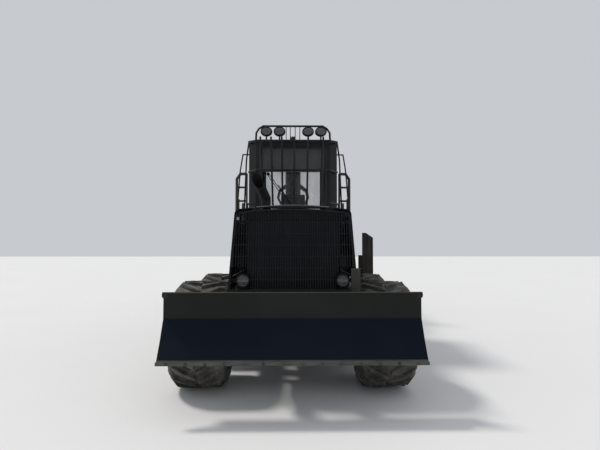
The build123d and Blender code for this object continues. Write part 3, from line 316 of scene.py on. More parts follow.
def clear_glass(name, colour, alpha):
    finish = Finish(name)
    smears = finish.noise(2.6, 6.0, (1.0, 1.0, 0.4))
    film = smears.above(0.55, 0.15) * 0.12
    return finish.surface(
        Base_Color=colour, Roughness=0.03 + film * 0.8, Alpha=alpha + film, Coat_Weight=1.0,
        Specular_IOR_Level=0.6,
    )


tyre_rubber = tyre_finish()
exhaust_steel = rusty_steel()
cab_glass = clear_glass("cab_glass", shade(0.04, (0.9, 1.0, 1.0)), 0.12)
# The lamp lenses are dark and half opaque: a painted shade.
lens_glass = clear_glass("lens_glass", shade(0.05, (0.97, 1.0, 1.02)), 0.45)
chrome = plain_finish("chrome_rod", shade(0.72, (1, 1.01, 1.03)), 0.08, 1.0, 200.0, 0.03, 0.08)
# The lamp bowls' metal is darkened: a painted shade.
darkened_reflector = plain_finish("lamp_reflector", shade(0.18), 0.3, 1.0, 120.0, 0.2, 0.1)
dark_plastic = plain_finish("dark_plastic", shade(0.014), 0.55, 0.0, 140.0, 0.3, 0.3, Specular_IOR_Level=0.25)
seal_rubber = plain_finish("seal_rubber", shade(0.012), 0.6, 0.0, 60.0, 0.1, 0.3)
zinc = plain_finish("zinc_fitting", shade(0.34, (1.0, 0.97, 0.9)), 0.35, 0.9, 90.0, 0.25, 0.4)
shade_cloth = plain_finish("sunshade", shade(0.075, (0.96, 1, 1.03)), 0.75, 0.0, 260.0, 0.3, 0.15)
# A pale grey that paints the highlight along the hood's back edge.
hood_highlight = plain_finish("hood_highlight", shade(0.24, (1.0, 1.0, 0.98)), 0.5, 0.0, 90.0, 0.1, 0.3)
red_lens, amber_lens = [
    plain_finish(name, colour, 0.15, 0.0, 120.0, 0.3, 0.2, Coat_Weight=1.0)
    for name, colour in (
        ("red_lens", shade(0.42, (1.0, 0.05, 0.04))), ("amber_lens", shade(0.7, (1.0, 0.35, 0.03)))
    )
]

# %% [markdown]
# ## Dress the solid model's own nodes
# Each node takes the finish of what it is on the real machine. A table keeps that in one place,
# and a print shows that none was missed.

# %% Finish by node
FINISHES = {
    "hood": hood_black, "hatch": hood_black, "grille": hood_black, "engine": hood_black,
    "cab_shell": cab_grey, "cab_door": cab_grey, "cab_glass": cab_glass, "door_glass": cab_glass,
    "front_frame": frame_black, "rear_frame": frame_black, "front_axle": frame_black,
    "rear_axle": frame_black, "rear_hitch": frame_black, "side_tanks": frame_black,
    "ladder": frame_black, "cab_guard": guard_grey, "roof_rack": guard_grey, "gate": bunk_grey,
    "bunks": bunk_grey, "lamps": dark_plastic, "cab_interior": dark_plastic,
    "seat_cushion": dark_plastic, "exhaust": exhaust_steel, "blade": blade_plate,
    "blade_barrel": frame_black, "blade_rod": chrome, "pillar": crane_grey, "boom": crane_grey,
    "stick": crane_grey, "extension": crane_grey, "hanger": crane_grey, "rotator": crane_grey,
    "grapple": crane_grey, "jaw": crane_grey, "stick_barrel": frame_black, "stick_rod": chrome,
    "lift_barrel": frame_black, "lift_rod": chrome, "steer_left_barrel": frame_black,
    "steer_left_rod": chrome, "steer_right_barrel": frame_black, "steer_right_rod": chrome,
    "tyre": tyre_rubber, "rim": rim_black,
}


def dress(node, material):
    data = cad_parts[node].data
    data.materials.clear()
    data.materials.append(material)


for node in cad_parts:
    fitting = max((key for key in FINISHES if node.startswith(key)), key=len)
    dress(node, FINISHES[fitting])
print(len(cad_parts), "nodes dressed")

# %% [markdown]
# ## A way to finish each new piece
# A bmesh holds the shape while it is worked on. This helper turns it into an object, gives it its
# finish and its smooth faces, and ties it to the body of the machine that carries it.


# %% From bmesh to piece
def piece(name, shape, material, body, smooth=35):
    bmesh.ops.remove_doubles(shape, verts=shape.verts, dist=1e-5)
    bmesh.ops.recalc_face_normals(shape, faces=shape.faces)
    data = bpy.data.meshes.new(name)
    shape.to_mesh(data)
    shape.free()
    data.materials.append(material)
    for face in data.polygons:
        face.use_smooth = True
    data.set_sharp_from_angle(angle=radians(smooth))
    made = bpy.data.objects.new(name, data)
    bpy.context.scene.collection.objects.link(made)
    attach(made, body)
    return made


def soft_box(shape, low, high, edge=0.004, steps=2):
    """Adds a box between two corners with its edges rounded over."""
    size = [b - a for a, b in zip(low, high)]
    middle = [(a + b) / 2 for a, b in zip(low, high)]
    place = Matrix.Translation(middle) @ Matrix.Diagonal((*size, 1.0))
    made = bmesh.ops.create_cube(shape, size=1.0, matrix=place)
    edges = {line for vert in made["verts"] for line in vert.link_edges}
    if edge:
        bmesh.ops.bevel(
            shape, geom=list(edges), offset=min(edge, min(size) * 0.45), segments=steps, profile=0.5,
            affect="EDGES", material=-1,
        )


def rod(shape, start, end, radius, sides=16, tip=None):
    """Adds a round bar between two points."""
    start, end = Vector(start), Vector(end)
    run = end - start
    turn = run.to_track_quat("Z", "Y").to_matrix().to_4x4()
    bmesh.ops.create_cone(
        shape, cap_ends=True, segments=sides, radius1=radius, radius2=radius if tip is None else tip,
        depth=run.length, matrix=Matrix.Translation((start + end) / 2) @ turn,
    )


def bolt(shape, spot, along, radius=0.012, height=0.009):
    """Adds a hexagon head on its washer."""
    spot, along = Vector(spot), Vector(along).normalized()
    rod(shape, spot - along * 0.001, spot + along * height * 0.25, radius * 1.5, 18)
    rod(shape, spot, spot + along * height, radius, 6)


# %% [markdown]
# ## Tyres
# The tread of a forestry tyre is two rows of thick bars that lean towards the middle. One tyre is
# made round the X axis: its carcass is a profile spun full circle, and one bar is bent to the
# crown and then repeated by another spin. Eight copies are moved to their places.


# %% One tyre
drawn_width = 0.7
bars_round = 20


def carcass(shape, rim=0.286, crown=0.556):
    outline = [
        (0.268, rim), (0.285, 0.3), (0.305, 0.335), (0.332, 0.39), (0.347, 0.45), (0.348, 0.49),
        (0.34, 0.515), (0.328, 0.535), (0.29, 0.55), (0.2, crown), (0.1, crown + 0.003),
        (0.0, crown + 0.004),
    ]
    profile = outline + [(-x, r) for x, r in reversed(outline[:-1])]
    verts = [shape.verts.new((x, 0.0, r)) for x, r in profile]
    lines = [shape.edges.new(pair) for pair in zip(verts, verts[1:])]
    lines.append(shape.edges.new((verts[-1], verts[0])))
    bmesh.ops.spin(
        shape, geom=verts + lines, cent=(0, 0, 0), axis=(1, 0, 0), angle=2 * pi, steps=80, use_merge=True
    )


def tread_bar(shape, side, turn):
    """Bends one block, in a mesh of its own, into a leaning bar with rounded tops."""
    bmesh.ops.create_cube(shape, size=1.0)
    long_lines = [line for line in shape.edges if abs((line.verts[0].co - line.verts[1].co).x) > 0.5]
    bmesh.ops.subdivide_edges(shape, edges=long_lines, cuts=7, use_grid_fill=True)
    for vert in shape.verts:
        along = vert.co.x + 0.5
        across = 0.012 + along * 0.334
        top = vert.co.z > 0
        width = 0.062 + 0.03 * along
        lean = 0.17 * along + 0.05 * along * along
        crown = 0.5927 - 0.012 * along**2 - 0.085 * max(0.0, along - 0.78) / 0.22 * 0.75
        radius = crown if top else 0.545 - 0.05 * max(0.0, along - 0.8) / 0.2
        sweep = turn + (lean + vert.co.y * width * (0.84 if top else 1.15)) / 0.58
        if not top:
            across = min(across, 0.342)
        vert.co = (side * across, radius * sin(sweep), radius * cos(sweep))
    edges = [line for line in shape.edges if line.calc_face_angle(0.0) > 0.6]
    top_edges = [line for line in edges if min(vert.co.yz.length for vert in line.verts) > 0.55]
    bmesh.ops.bevel(
        shape, geom=top_edges, offset=0.009, segments=2, profile=0.5, affect="EDGES", material=-1
    )


def one_tyre():
    tyre = bmesh.new()
    for side in (-1, 1):
        bar = bmesh.new()
        tread_bar(bar, side, 0.0 if side > 0 else pi / bars_round)
        bmesh.ops.spin(
            bar, geom=bar.verts[:] + bar.edges[:] + bar.faces[:], cent=(0, 0, 0), axis=(1, 0, 0),
            angle=2 * pi * (bars_round - 1) / bars_round, steps=bars_round - 1, use_duplicate=True,
        )
        holder = bpy.data.meshes.new("bars")
        bar.to_mesh(holder)
        bar.free()
        tyre.from_mesh(holder)
        bpy.data.meshes.remove(holder)
    carcass(tyre)
    return tyre


# %% [markdown]
# The side wall carries raised rings, which catch the light and show that the rubber bulges. The
# pattern is drawn at one width, and each copy is squeezed to the width of the solid tyre.

# %% Eight tyres
side_rings = ((0.352, 0.3385), (0.405, 0.3455), (0.462, 0.3515))
tyre_pattern = one_tyre()
tyre_mesh = bpy.data.meshes.new("tyre_pattern")
tyre_pattern.to_mesh(tyre_mesh)
print("one tyre has", len(tyre_pattern.faces), "faces")
tyre_pattern.free()
wheel_names = [name[5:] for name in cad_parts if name.startswith("tyre_")]
wheel_middle = {}
for wheel in wheel_names:
    low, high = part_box("tyre_" + wheel)
    middle = (Vector(low) + Vector(high)) / 2
    wheel_middle[wheel] = middle
    copy = bmesh.new()
    copy.from_mesh(tyre_mesh)
    for side in (-1, 1):
        for ring, reach in side_rings:
            made = bmesh.ops.create_circle(copy, segments=6, radius=0.004, cap_ends=False)
            turn = Matrix.Translation((side * (reach - 0.003), 0, ring)) @ Matrix.Rotation(pi / 2, 4, "X")
            bmesh.ops.transform(copy, matrix=turn, verts=made["verts"])
            lines = list({line for vert in made["verts"] for line in vert.link_edges})
            bmesh.ops.spin(
                copy, geom=made["verts"] + lines, cent=(0, 0, 0), axis=(1, 0, 0), angle=2 * pi, steps=72,
                use_merge=True,
            )
    bmesh.ops.scale(copy, verts=copy.verts, vec=((high[0] - low[0]) / drawn_width, 1.0, 1.0))
    bmesh.ops.translate(copy, verts=copy.verts, vec=middle)
    tyre = piece("tread_" + wheel, copy, tyre_rubber, "wheel_" + wheel, 40)
    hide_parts("tyre_" + wheel)

# %% [markdown]
# ## Hubs
# A bogie wheel ends in a planetary hub: a domed cover, a flange and a ring of nuts. The cover is
# spun from its profile, so its dome and its flange are one closed form.

# %% Hub covers and wheel nuts
hub_profile = [
    (0.085, 0.0), (0.085, 0.215), (0.11, 0.222), (0.125, 0.215), (0.13, 0.15), (0.2, 0.14),
    (0.222, 0.12), (0.232, 0.08), (0.234, 0.0),
]
for wheel, middle in wheel_middle.items():
    side = 1 if middle.x > 0 else -1
    hub = bmesh.new()
    verts = [hub.verts.new((side * x, 0.0, r)) for x, r in hub_profile]
    lines = [hub.edges.new(pair) for pair in zip(verts, verts[1:])]
    bmesh.ops.spin(
        hub, geom=verts + lines, cent=(0, 0, 0), axis=(1, 0, 0), angle=2 * pi, steps=48, use_merge=True
    )
    for index in range(12):
        turn = 2 * pi * index / 12
        bolt(hub, (side * 0.122, 0.185 * sin(turn), 0.185 * cos(turn)), (side, 0, 0), 0.014, 0.018)
    for index in range(8):
        turn = 2 * pi * (index + 0.5) / 8
        bolt(hub, (side * 0.229, 0.09 * sin(turn), 0.09 * cos(turn)), (side, 0, 0), 0.009, 0.008)
    bmesh.ops.translate(hub, verts=hub.verts, vec=middle)
    piece("hub_" + wheel, hub, rim_black, "wheel_" + wheel, 30)

# %% [markdown]
# ## Headlamps and work lamps
# Each headlamp is a metal bowl behind a domed lens, held by a black ring. The bowl and the lens are darkened:
# a painted shade. The bowl and the lens are profiles spun round the lamp's axis. The four lamps on the roof
# are oval, so theirs are squashed a little after the spin.


# %% A profile spun round the lamp's axis
def turned(shape, profile, middle, squash=(1.0, 1.0), sides=32):
    """Spins (reach towards the front, radius) pairs round an axis that runs along Y."""
    verts = [shape.verts.new((r, -reach, 0.0)) for reach, r in profile]
    lines = [shape.edges.new(pair) for pair in zip(verts, verts[1:])]
    before = set(shape.verts)
    bmesh.ops.spin(
        shape, geom=verts + lines, cent=(0, 0, 0), axis=(0, 1, 0), angle=2 * pi, steps=sides, use_merge=True
    )
    made = verts + [vert for vert in shape.verts if vert not in before]
    bmesh.ops.scale(shape, verts=made, vec=(squash[0], 1.0, squash[1]))
    bmesh.ops.translate(shape, verts=made, vec=middle)


# %% Lamps
hood_front = -4.425
cab_front = -2.145
roof = 3.3
work_lamps = (-0.433, -0.22, 0.243, 0.452)
lamp_spots = [(x, hood_front + 0.055, 1.225, 0.075, (1.0, 1.0)) for x in (-0.54, 0.54)]
lamp_spots += [(x, cab_front + 0.095, roof + 0.157, 0.095, (1.0, 0.758)) for x in work_lamps]
bezels, bowls, lenses = bmesh.new(), bmesh.new(), bmesh.new()
ring_profile = (
    (0.0, 0.8), (0.014, 0.8), (0.02, 0.86), (0.018, 0.97), (0.0, 1.0), (-0.02, 1.02), (-0.02, 0.8),
    (0.0, 0.8),
)
bowl_profile = ((0.002, 0.0), (0.003, 0.3), (0.006, 0.55), (0.012, 0.8))
lens_profile = ((0.019, 0.0), (0.0185, 0.3), (0.017, 0.6), (0.013, 0.81))
for x, y, z, radius, squash in lamp_spots:
    for shape, profile in ((bezels, ring_profile), (bowls, bowl_profile), (lenses, lens_profile)):
        turned(shape, [(reach, radius * share) for reach, share in profile], (x, y, z), squash)
piece("lamp_bezels", bezels, dark_plastic, "front")
piece("lamp_bowls", bowls, darkened_reflector, "front", 60)
piece("lamp_lenses", lenses, lens_glass, "front", 60)

# %% [markdown]
# ## Windows
# A cab window is glued into its opening, and a black band of rubber runs round the edge. One
# helper lays four flat strips with rounded edges along the border of an opening.


# %% Window seals
def seal(shape, low, high, flat, band=0.022):
    """Frames an opening between two corners. flat is the axis that the pane faces along."""
    wide, tall = [axis for axis in range(3) if axis != flat]
    for axis, end in ((wide, 0), (wide, 1), (tall, 0), (tall, 1)):
        a, b = list(low), list(high)
        if end:
            a[axis] = high[axis] - band
        else:
            b[axis] = low[axis] + band
        soft_box(shape, a, b, 0.004, 1)


seals = bmesh.new()
seal(seals, (-0.5397, cab_front + 0.046, 1.8403), (0.5397, cab_front + 0.053, 3.1897), 1)
seal(seals, (-0.5397, -0.6095, 1.9603), (0.5397, -0.6005, 3.1697), 1)
seal(seals, (-0.7095, -1.8147, 1.8103), (-0.7005, -0.8953, 3.1797), 0)
piece("window_seals", seals, seal_rubber, "front")
door_seal = bmesh.new()
seal(door_seal, (0.7005, -1.7247, 1.8103), (0.7095, -0.9853, 3.0897), 0)
soft_box(door_seal, (0.7203, -1.79, 1.68), (0.74, -1.76, 1.80), 0.006)
soft_box(door_seal, (0.7203, -1.785, 1.62), (0.728, -1.745, 1.68), 0.004)
piece("door_trim", door_seal, dark_plastic, "cab_door")

# %% [markdown]
# ## The wiper
# It parks across the screen from its spindle near the top. Two thin arms run side by side to the
# carrier, which holds the rubber blade.

# %% Wiper
wiper = bmesh.new()
wiper_y = cab_front + 0.034
arm_top, arm_low = Vector((-0.398, wiper_y, 2.749)), Vector((-0.057, wiper_y, 2.255))
run = (arm_low - arm_top).normalized()
beside = Vector((-run.z, 0, run.x)) * 0.014
for offset in (-1, 1):
    rod(wiper, arm_top + beside * offset, arm_low + beside * offset, 0.006, 10)
rod(wiper, arm_top + Vector((0, 0.018, 0)), arm_top - Vector((0, 0.008, 0)), 0.026, 20)
rod(wiper, arm_low - run * 0.36 + beside * 2.4, arm_low + run * 0.1 + beside * 2.4, 0.008, 8)
for reach in (-0.2, 0.02):
    rod(wiper, arm_low + run * reach, arm_low + run * reach + beside * 2.4, 0.006, 8)
piece("wiper", wiper, dark_plastic, "front")

# %% [markdown]
# ## Hood fittings
# The side hatches breathe through pressed louvres. A louvre is a small hooded slat, so a soft box
# set just proud of the sheet is enough at this size, and the rows repeat it.


# %% Louvres, latches and grab rails
rail_bends = ((-4.15, 2.02), (-4.15, 2.075), (-3.0, 2.2), (-3.0, 2.14))


def hood_side(z):
    """How far from the middle the hood's leaning side stands at a height."""
    return 0.7 - (z - 1.116) * 0.05 / 0.824


for side, name in ((1, "left"), (-1, "right")):
    slats = bmesh.new()
    for column in range(2):
        for row in range(11):
            z = 1.42 + row * 0.036
            x = hood_side(z)
            y = -3.98 + column * 0.62
            low, high = sorted((side * (x - 0.004), side * (x + 0.011)))
            soft_box(slats, (low, y, z), (high, y + 0.5, z + 0.02), 0.005, 2)
    piece("louvres_" + name, slats, hood_black, "hatch_" + name)
    latches = bmesh.new()
    for y in (-3.9, -2.9):
        x = hood_side(1.31)
        low, high = sorted((side * (x - 0.003), side * (x + 0.007)))
        soft_box(latches, (low, y - 0.05, 1.285), (high, y + 0.05, 1.335), 0.006)
        rod(latches, (side * x, y, 1.31), (side * (x + 0.02), y, 1.31), 0.014, 20)
    piece("latches_" + name, latches, zinc, "hatch_" + name)
    grab = bmesh.new()
    for start, end in zip(rail_bends, rail_bends[1:]):
        rod(grab, (side * 0.52, *start), (side * 0.52, *end), 0.011, 12)
    piece("hood_rail_" + name, grab, guard_grey, "front")

# %% [markdown]
# The front corner of the hood carries a flat olive plate beside the right lamp, and a few small
# zinc brackets show in the lamp recess and at the corner of the grille's frame.

# %% Front corner plate and brackets
corner = bmesh.new()
soft_box(corner, (0.624, hood_front - 0.014, 1.112), (0.722, hood_front - 0.006, 1.363), 0.003)
for z in (1.14, 1.335):
    bolt(corner, (0.673, hood_front - 0.014, z), (0, -1, 0), 0.008, 0.007)
piece("corner_plate", corner, plate_olive, "front")
brackets = bmesh.new()
soft_box(brackets, (0.612, hood_front + 0.03, 1.15), (0.63, hood_front + 0.05, 1.21), 0.003)
soft_box(brackets, (0.612, hood_front + 0.03, 1.25), (0.64, hood_front + 0.05, 1.275), 0.003)
soft_box(brackets, (-0.622, -4.306, 1.885), (-0.592, -4.292, 1.92), 0.003)
piece("front_brackets", brackets, zinc, "front")

# %% [markdown]
# ## Blade fittings
# The cutting edge is bolted on so that it can be turned when it is worn. The top rail ends in a
# round knob at each corner, which shows the driver where the blade's ends are.

# %% Blade bolts, knobs and end plates
blade_bits = bmesh.new()
blade_face = cad_box[0][1]
for index in range(14):
    x = -1.15 + index * 2.3 / 13
    bolt(blade_bits, (x, blade_face - 0.0002, 0.53), (0, -1, 0), 0.011, 0.005)
piece("blade_bolts", blade_bits, frame_black, "blade")
knobs = bmesh.new()
for side in (-1, 1):
    made = bmesh.ops.create_uvsphere(knobs, u_segments=24, v_segments=14, radius=0.036)
    bmesh.ops.translate(knobs, verts=made["verts"], vec=(side * 1.229, -4.85, 1.113))
piece("blade_knobs", knobs, guard_grey, "blade", 60)

# %% [markdown]
# ## Bolts and pipes of the crane
# The column stands on a ring of bolts. Two steel pipes run along the boom in clamps, and two more
# along the stick. They are straight pipes and not hoses, so each is one rigid bar.

# %% Column bolts
column_y = 0.265
ring_radius = 0.205
ring_bolts = bmesh.new()
for index in range(16):
    turn = 2 * pi * index / 16
    spot = (ring_radius * cos(turn), column_y + ring_radius * sin(turn), 1.5)
    bolt(ring_bolts, spot, (0, 0, 1), 0.014, 0.014)
piece("column_bolts", ring_bolts, zinc, "rear")

# %% [markdown]
# The boom rests twelve degrees above level, so a helper turns a place along it into a place in
# the machine. The stick lies level at rest, and its pipes need no turn.

# %% Pipes
boom_turn = radians(12)
boom_foot_y, boom_foot_z = 0.165, 3.58
stick_z = 4.204


def on_boom(x, along, above):
    """A place beside the boom, from how far along it and how far above its middle line."""
    y = boom_foot_y + along * cos(boom_turn) - above * sin(boom_turn)
    return (x, y, boom_foot_z + along * sin(boom_turn) + above * cos(boom_turn))


pipes = bmesh.new()
for side in (-1, 1):
    for above in (-0.03, 0.0):
        rod(pipes, on_boom(side * 0.096, 0.25, above), on_boom(side * 0.096, 2.55, above), 0.009, 12)
    for along in (0.3, 0.95, 1.6, 2.25, 2.5):
        rod(pipes, on_boom(side * 0.096, along, -0.052), on_boom(side * 0.096, along, 0.022), 0.016, 8)
piece("boom_pipes", pipes, frame_black, "boom")
stick_pipes = bmesh.new()
for above in (0.02, 0.05):
    rod(stick_pipes, (0.1, 3.35, stick_z + above), (0.1, 4.6, stick_z + above), 0.008, 12)
for y in (3.45, 4.0, 4.55):
    rod(stick_pipes, (0.1, y, stick_z - 0.004), (0.1, y, stick_z + 0.074), 0.015, 8)
piece("stick_pipes", stick_pipes, frame_black, "stick")

# %% [markdown]
# ## Tanks and the rear end
# The tanks hang on straps and have a filler cap. At the rear, each end of the cross plate has a
# group of lamps: red above, amber below.

# %% Tank straps, caps and rear lamps
tank_low, tank_high, tank_side = 0.86, 1.33, 0.98
straps = bmesh.new()
for side in (-1, 1):
    for y in (-1.6, -1.02):
        low, high = sorted((side * 0.465, side * (tank_side + 0.004)))
        soft_box(straps, (low, y, tank_low - 0.004), (high, y + 0.05, tank_low), 0.001, 1)
        soft_box(straps, (low, y, tank_high), (high, y + 0.05, tank_high + 0.004), 0.001, 1)
        low, high = sorted((side * tank_side, side * (tank_side + 0.004)))
        soft_box(straps, (low, y, tank_low - 0.004), (high, y + 0.05, tank_high + 0.004), 0.001, 1)
    rod(straps, (side * 0.86, -1.3, tank_high), (side * 0.86, -1.3, tank_high + 0.035), 0.05, 24, 0.046)
piece("tank_straps", straps, zinc, "front")
for name, material, low in (("rear_lamps_red", red_lens, 1.12), ("rear_lamps_amber", amber_lens, 1.02)):
    lamps = bmesh.new()
    for side in (-1, 1):
        soft_box(lamps, (side * 0.78 - 0.07, 4.974, low), (side * 0.78 + 0.07, 5.0, low + 0.08), 0.008)
    piece(name, lamps, material, "rear")
rear_bolts = bmesh.new()
for side in (-1, 1):
    for z in (1.02, 1.14, 1.25):
        for x in (0.28, 0.5):
            bolt(rear_bolts, (side * x, 4.975, z), (0, 1, 0), 0.014, 0.012)
for x in (-0.075, 0.075):
    for z in (0.92, 1.1):
        bolt(rear_bolts, (x, 4.997, z), (0, 1, 0), 0.01, 0.009)
piece("rear_bolts", rear_bolts, zinc, "rear")

# %% [markdown]
# ## Inside the cab
# The driver's seat is two padded forms in woven cloth. A box is subdivided, its faces are drawn
# out into a crown and its sides are pulled in between the corners, and channels are pressed in
# where the seams run. A cloth simulation then blows the pad up from inside. The seams and the
# side that it rests on are pinned, and no point may move far.


# %% Seat cloth and cushions
def woven_cloth(name, colour):
    finish = Finish(name)
    threads = {"Vector": finish.place, "Scale": 120.0, "Distortion": 0.6}
    across = finish.node("TexWave", {"bands_direction": "X"}, threads, "Fac")
    along = finish.node("TexWave", {"bands_direction": "Y"}, threads, "Fac")
    weave = across * along
    clouds = finish.noise(5.0, 3.0)
    return finish.surface(
        Base_Color=finish.blend(weave * 0.5 + clouds * 0.3, shade(0.02), colour),
        Roughness=0.85 + weave * 0.1,
        Normal=finish.bump(weave, 0.4, 0.0015),
    )


seat_cloth = woven_cloth("seat_cloth", shade(0.09, (0.95, 0.98, 1.05)))


def soften(shape):
    bmesh.ops.smooth_vert(
        shape, verts=shape.verts, factor=0.5, use_axis_x=True, use_axis_y=True, use_axis_z=True
    )


def inflate(made, pinned, cap=0.007):
    """Swells a closed mesh like a stuffed pad, and keeps the result as its shape."""
    scene = bpy.context.scene
    bpy.context.view_layer.objects.active = made
    remesh = made.modifiers.new("even", "REMESH")
    remesh.mode = "VOXEL"
    remesh.voxel_size = 0.0055
    bpy.ops.object.modifier_apply(modifier="even")
    rest = [vert.co.copy() for vert in made.data.vertices]
    seam = made.vertex_groups.new(name="seam")
    seam.add([index for index, spot in enumerate(rest) if pinned(spot)], 1.0, "REPLACE")
    cloth = made.modifiers.new("pad", "CLOTH")
    cloth.settings.use_pressure = True
    cloth.settings.uniform_pressure_force = 4.0
    cloth.settings.effector_weights.gravity = 0.0
    cloth.settings.vertex_group_mass = "seam"
    for step in range(1, 21):
        scene.frame_set(step)
    swollen = made.evaluated_get(bpy.context.evaluated_depsgraph_get()).to_mesh()
    moved = [vert.co - spot for vert, spot in zip(swollen.vertices, rest)]
    made.modifiers.remove(cloth)
    for vert, spot, way in zip(made.data.vertices, rest, moved):
        vert.co = spot + way * min(1.0, cap / max(way.length, 1e-9))
    made.vertex_groups.clear()
    scene.frame_set(1)
    shape = bmesh.new()
    shape.from_mesh(made.data)
    soften(shape)
    for face in shape.faces:
        face.smooth = True
    shape.to_mesh(made.data)
    shape.free()
    print(made.name, "swelled by at most", round(max(way.length for way in moved), 4))


def padded_form(name, low, high, thin, channel):
    """A stuffed block. thin is its axis of thickness, and channel is the axis that it is quilted across."""
    low = [a + (0.0 if axis == thin else 0.006) for axis, a in enumerate(low)]
    high = [b - 0.006 for b in high]
    size = [b - a for a, b in zip(low, high)]
    middle = [(a + b) / 2 for a, b in zip(low, high)]
    shape = bmesh.new()
    bmesh.ops.create_cube(shape, size=2.0)
    bmesh.ops.subdivide_edges(shape, edges=shape.edges[:], cuts=15, use_grid_fill=True)
    wide = [axis for axis in range(3) if axis != thin]
    for vert in shape.verts:
        spot = list(vert.co)
        edge = [1.0 - abs(spot[axis]) ** 3 for axis in wide]
        crown = 0.72 + 0.28 * (edge[0] * edge[1]) ** 0.5
        seam = min(abs(abs(spot[channel]) - 0.34), 1.0)
        press = 0.1 * max(0.0, 1.0 - seam / 0.09)
        for axis in wide:
            other = wide[1] if axis == wide[0] else wide[0]
            waist = 0.955 + 0.035 * abs(spot[other]) ** 2
            round_off = 1.0 - 0.03 * abs(spot[thin]) ** 3
            vert.co[axis] = spot[axis] * waist * round_off
        vert.co[thin] = spot[thin] * (crown - press)
        for axis in range(3):
            vert.co[axis] = middle[axis] + vert.co[axis] * size[axis] / 2
    soften(shape)
    made = piece(name, shape, seat_cloth, "front", 70)

    def pinned(spot):
        across = abs(spot[channel] - middle[channel]) / (size[channel] / 2)
        return abs(across - 0.34) < 0.03 or spot[thin] < middle[thin] - size[thin] * 0.25

    inflate(made, pinned)
    return made


seat_y = cab_front + 0.9
seat_base = padded_form("seat_base", (-0.24, seat_y - 0.26, 1.8003), (0.24, seat_y + 0.2, 1.92), 2, 0)
seat_back = padded_form("seat_back", (-0.23, seat_y + 0.205, 1.8003), (0.23, seat_y + 0.32, 2.56), 1, 0)
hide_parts("seat_cushion")
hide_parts("seat_cushion")

# %% [markdown]
# A light cloth sunshade hangs behind the top of the screen, and a pale strip follows the crown of the hood at
# its back edge: a painted highlight where that edge catches the light.

# %% Sunshade and the hood's painted highlight
sunshade = bmesh.new()
soft_box(sunshade, (-0.5, cab_front + 0.127, 2.8), (0.5, cab_front + 0.1395, 3.185), 0.003, 2)
piece("sunshade", sunshade, shade_cloth, "front")
# The pale rod along the hood's back edge is a painted highlight.
highlight_strip = bmesh.new()
spots = [0.14 * step for step in range(-4, 5)]
crown = [(x, 2.187 + 0.033 * (1.0 - (x / 0.59) ** 2)) for x in spots]
for (x0, z0), (x1, z1) in zip(crown, crown[1:]):
    rod(highlight_strip, (x0, -2.437, z0), (x1, -2.437, z1), 0.008, 10)
piece("hood_highlight_strip", highlight_strip, hood_highlight, "front")

# %% [markdown]
# A radiator is sealed to its hood, so that the fan pulls air through the core and not round it. A
# thin plate with a crowned top fills the space above the block, and it also stops the view from
# the grille through to the cab.

# %% Radiator shroud
shroud = bmesh.new()
bmesh.ops.create_cube(shroud, size=1.0)
wide_lines = [line for line in shroud.edges if abs((line.verts[0].co - line.verts[1].co).x) > 0.5]
bmesh.ops.subdivide_edges(shroud, edges=wide_lines, cuts=11, use_grid_fill=True)
for vert in shroud.verts:
    x = vert.co.x * 1.04
    top = 1.998 + 0.031 * (1.0 - (x / 0.596) ** 2)
    vert.co = (x, hood_front + 0.318 + vert.co.y * 0.008, top if vert.co.z > 0 else 1.8795)
piece("radiator_shroud", shroud, dark_plastic, "front")

# %% [markdown]
# The levers on the armrests steer the machine and the crane. The screen beside them is blank.

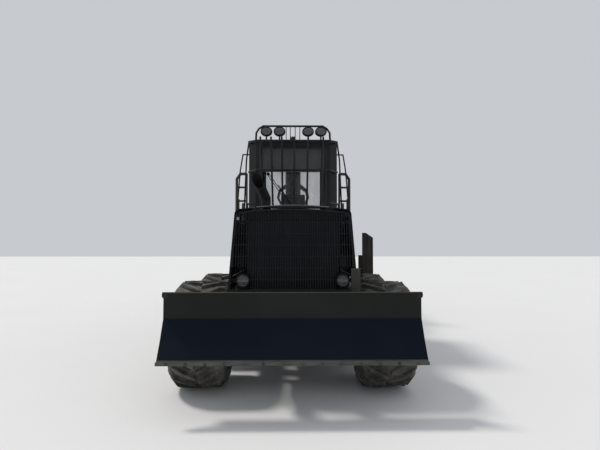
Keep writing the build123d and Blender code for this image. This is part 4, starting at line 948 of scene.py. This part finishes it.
# %% Levers and screen
levers = bmesh.new()
for side in (-1, 1):
    foot = Vector((side * 0.33, seat_y - 0.24, 2.06))
    rod(levers, foot, foot + Vector((0, -0.03, 0.1)), 0.011, 12)
    made = bmesh.ops.create_uvsphere(levers, u_segments=16, v_segments=10, radius=0.03)
    bmesh.ops.scale(levers, verts=made["verts"], vec=(0.8, 0.8, 1.5))
    bmesh.ops.translate(levers, verts=made["verts"], vec=foot + Vector((0, -0.035, 0.13)))
soft_box(levers, (0.4, cab_front + 0.32, 2.0), (0.56, cab_front + 0.35, 2.16), 0.008)
rod(levers, (0.48, cab_front + 0.34, 1.461), (0.48, cab_front + 0.34, 2.05), 0.016, 12)
piece("levers", levers, dark_plastic, "front", 60)

# %% [markdown]
# ## Floor, light and camera
# The floor is a plain pale plane. The light is soft and level, so a colour renders about as it is
# written, and one broad sun from behind gives the machine its shadow.

# %% Floor
floor_finish = Finish("floor")
floor_tone = floor_finish.noise(0.4, 2.0)
floor_finish.surface(
    Base_Color=floor_finish.blend(floor_tone, shade(0.78), shade(0.82)), Roughness=0.9 + floor_tone * 0.05
)
floor_shape = bmesh.new()
bmesh.ops.create_grid(floor_shape, x_segments=1, y_segments=1, size=60.0)
floor_data = bpy.data.meshes.new("floor")
floor_shape.to_mesh(floor_data)
floor_shape.free()
floor_data.materials.append(floor_finish.material)
floor = bpy.data.objects.new("floor", floor_data)
bpy.context.scene.collection.objects.link(floor)

# %% Light
world = bpy.data.worlds.new("studio")
world.use_nodes = True
sky = world.node_tree.nodes["Background"]
sky.inputs["Color"].default_value = (0.92, 0.95, 1.0, 1.0)
sky.inputs["Strength"].default_value = 0.62
bpy.context.scene.world = world

sun_data = bpy.data.lights.new("key", "SUN")
sun_data.energy = 1.7
sun_data.angle = radians(9)
sun_data.color = (1.0, 0.96, 0.9)
sun = bpy.data.objects.new("key", sun_data)
sun.rotation_euler = Vector((0.62, -0.35, -1.0)).to_track_quat("-Z", "Y").to_euler()
bpy.context.scene.collection.objects.link(sun)

# %% [markdown]
# The camera stands where the photograph was taken, a little over nine metres in front of the
# machine's middle and at eye height. Its lens and its turn were found from known sizes.

# %% Camera
camera_data = bpy.data.cameras.new("camera")
camera_data.sensor_width = 36.0
camera_data.lens = 27.06
camera_data.clip_end = 200.0
camera = bpy.data.objects.new("camera", camera_data)
camera.location = (0.0, -9.275, 1.6)
camera.rotation_euler = (radians(92.67), 0.0, radians(-0.89))
bpy.context.scene.collection.objects.link(camera)
bpy.context.scene.camera = camera
bpy.context.scene.view_settings.view_transform = "Standard"
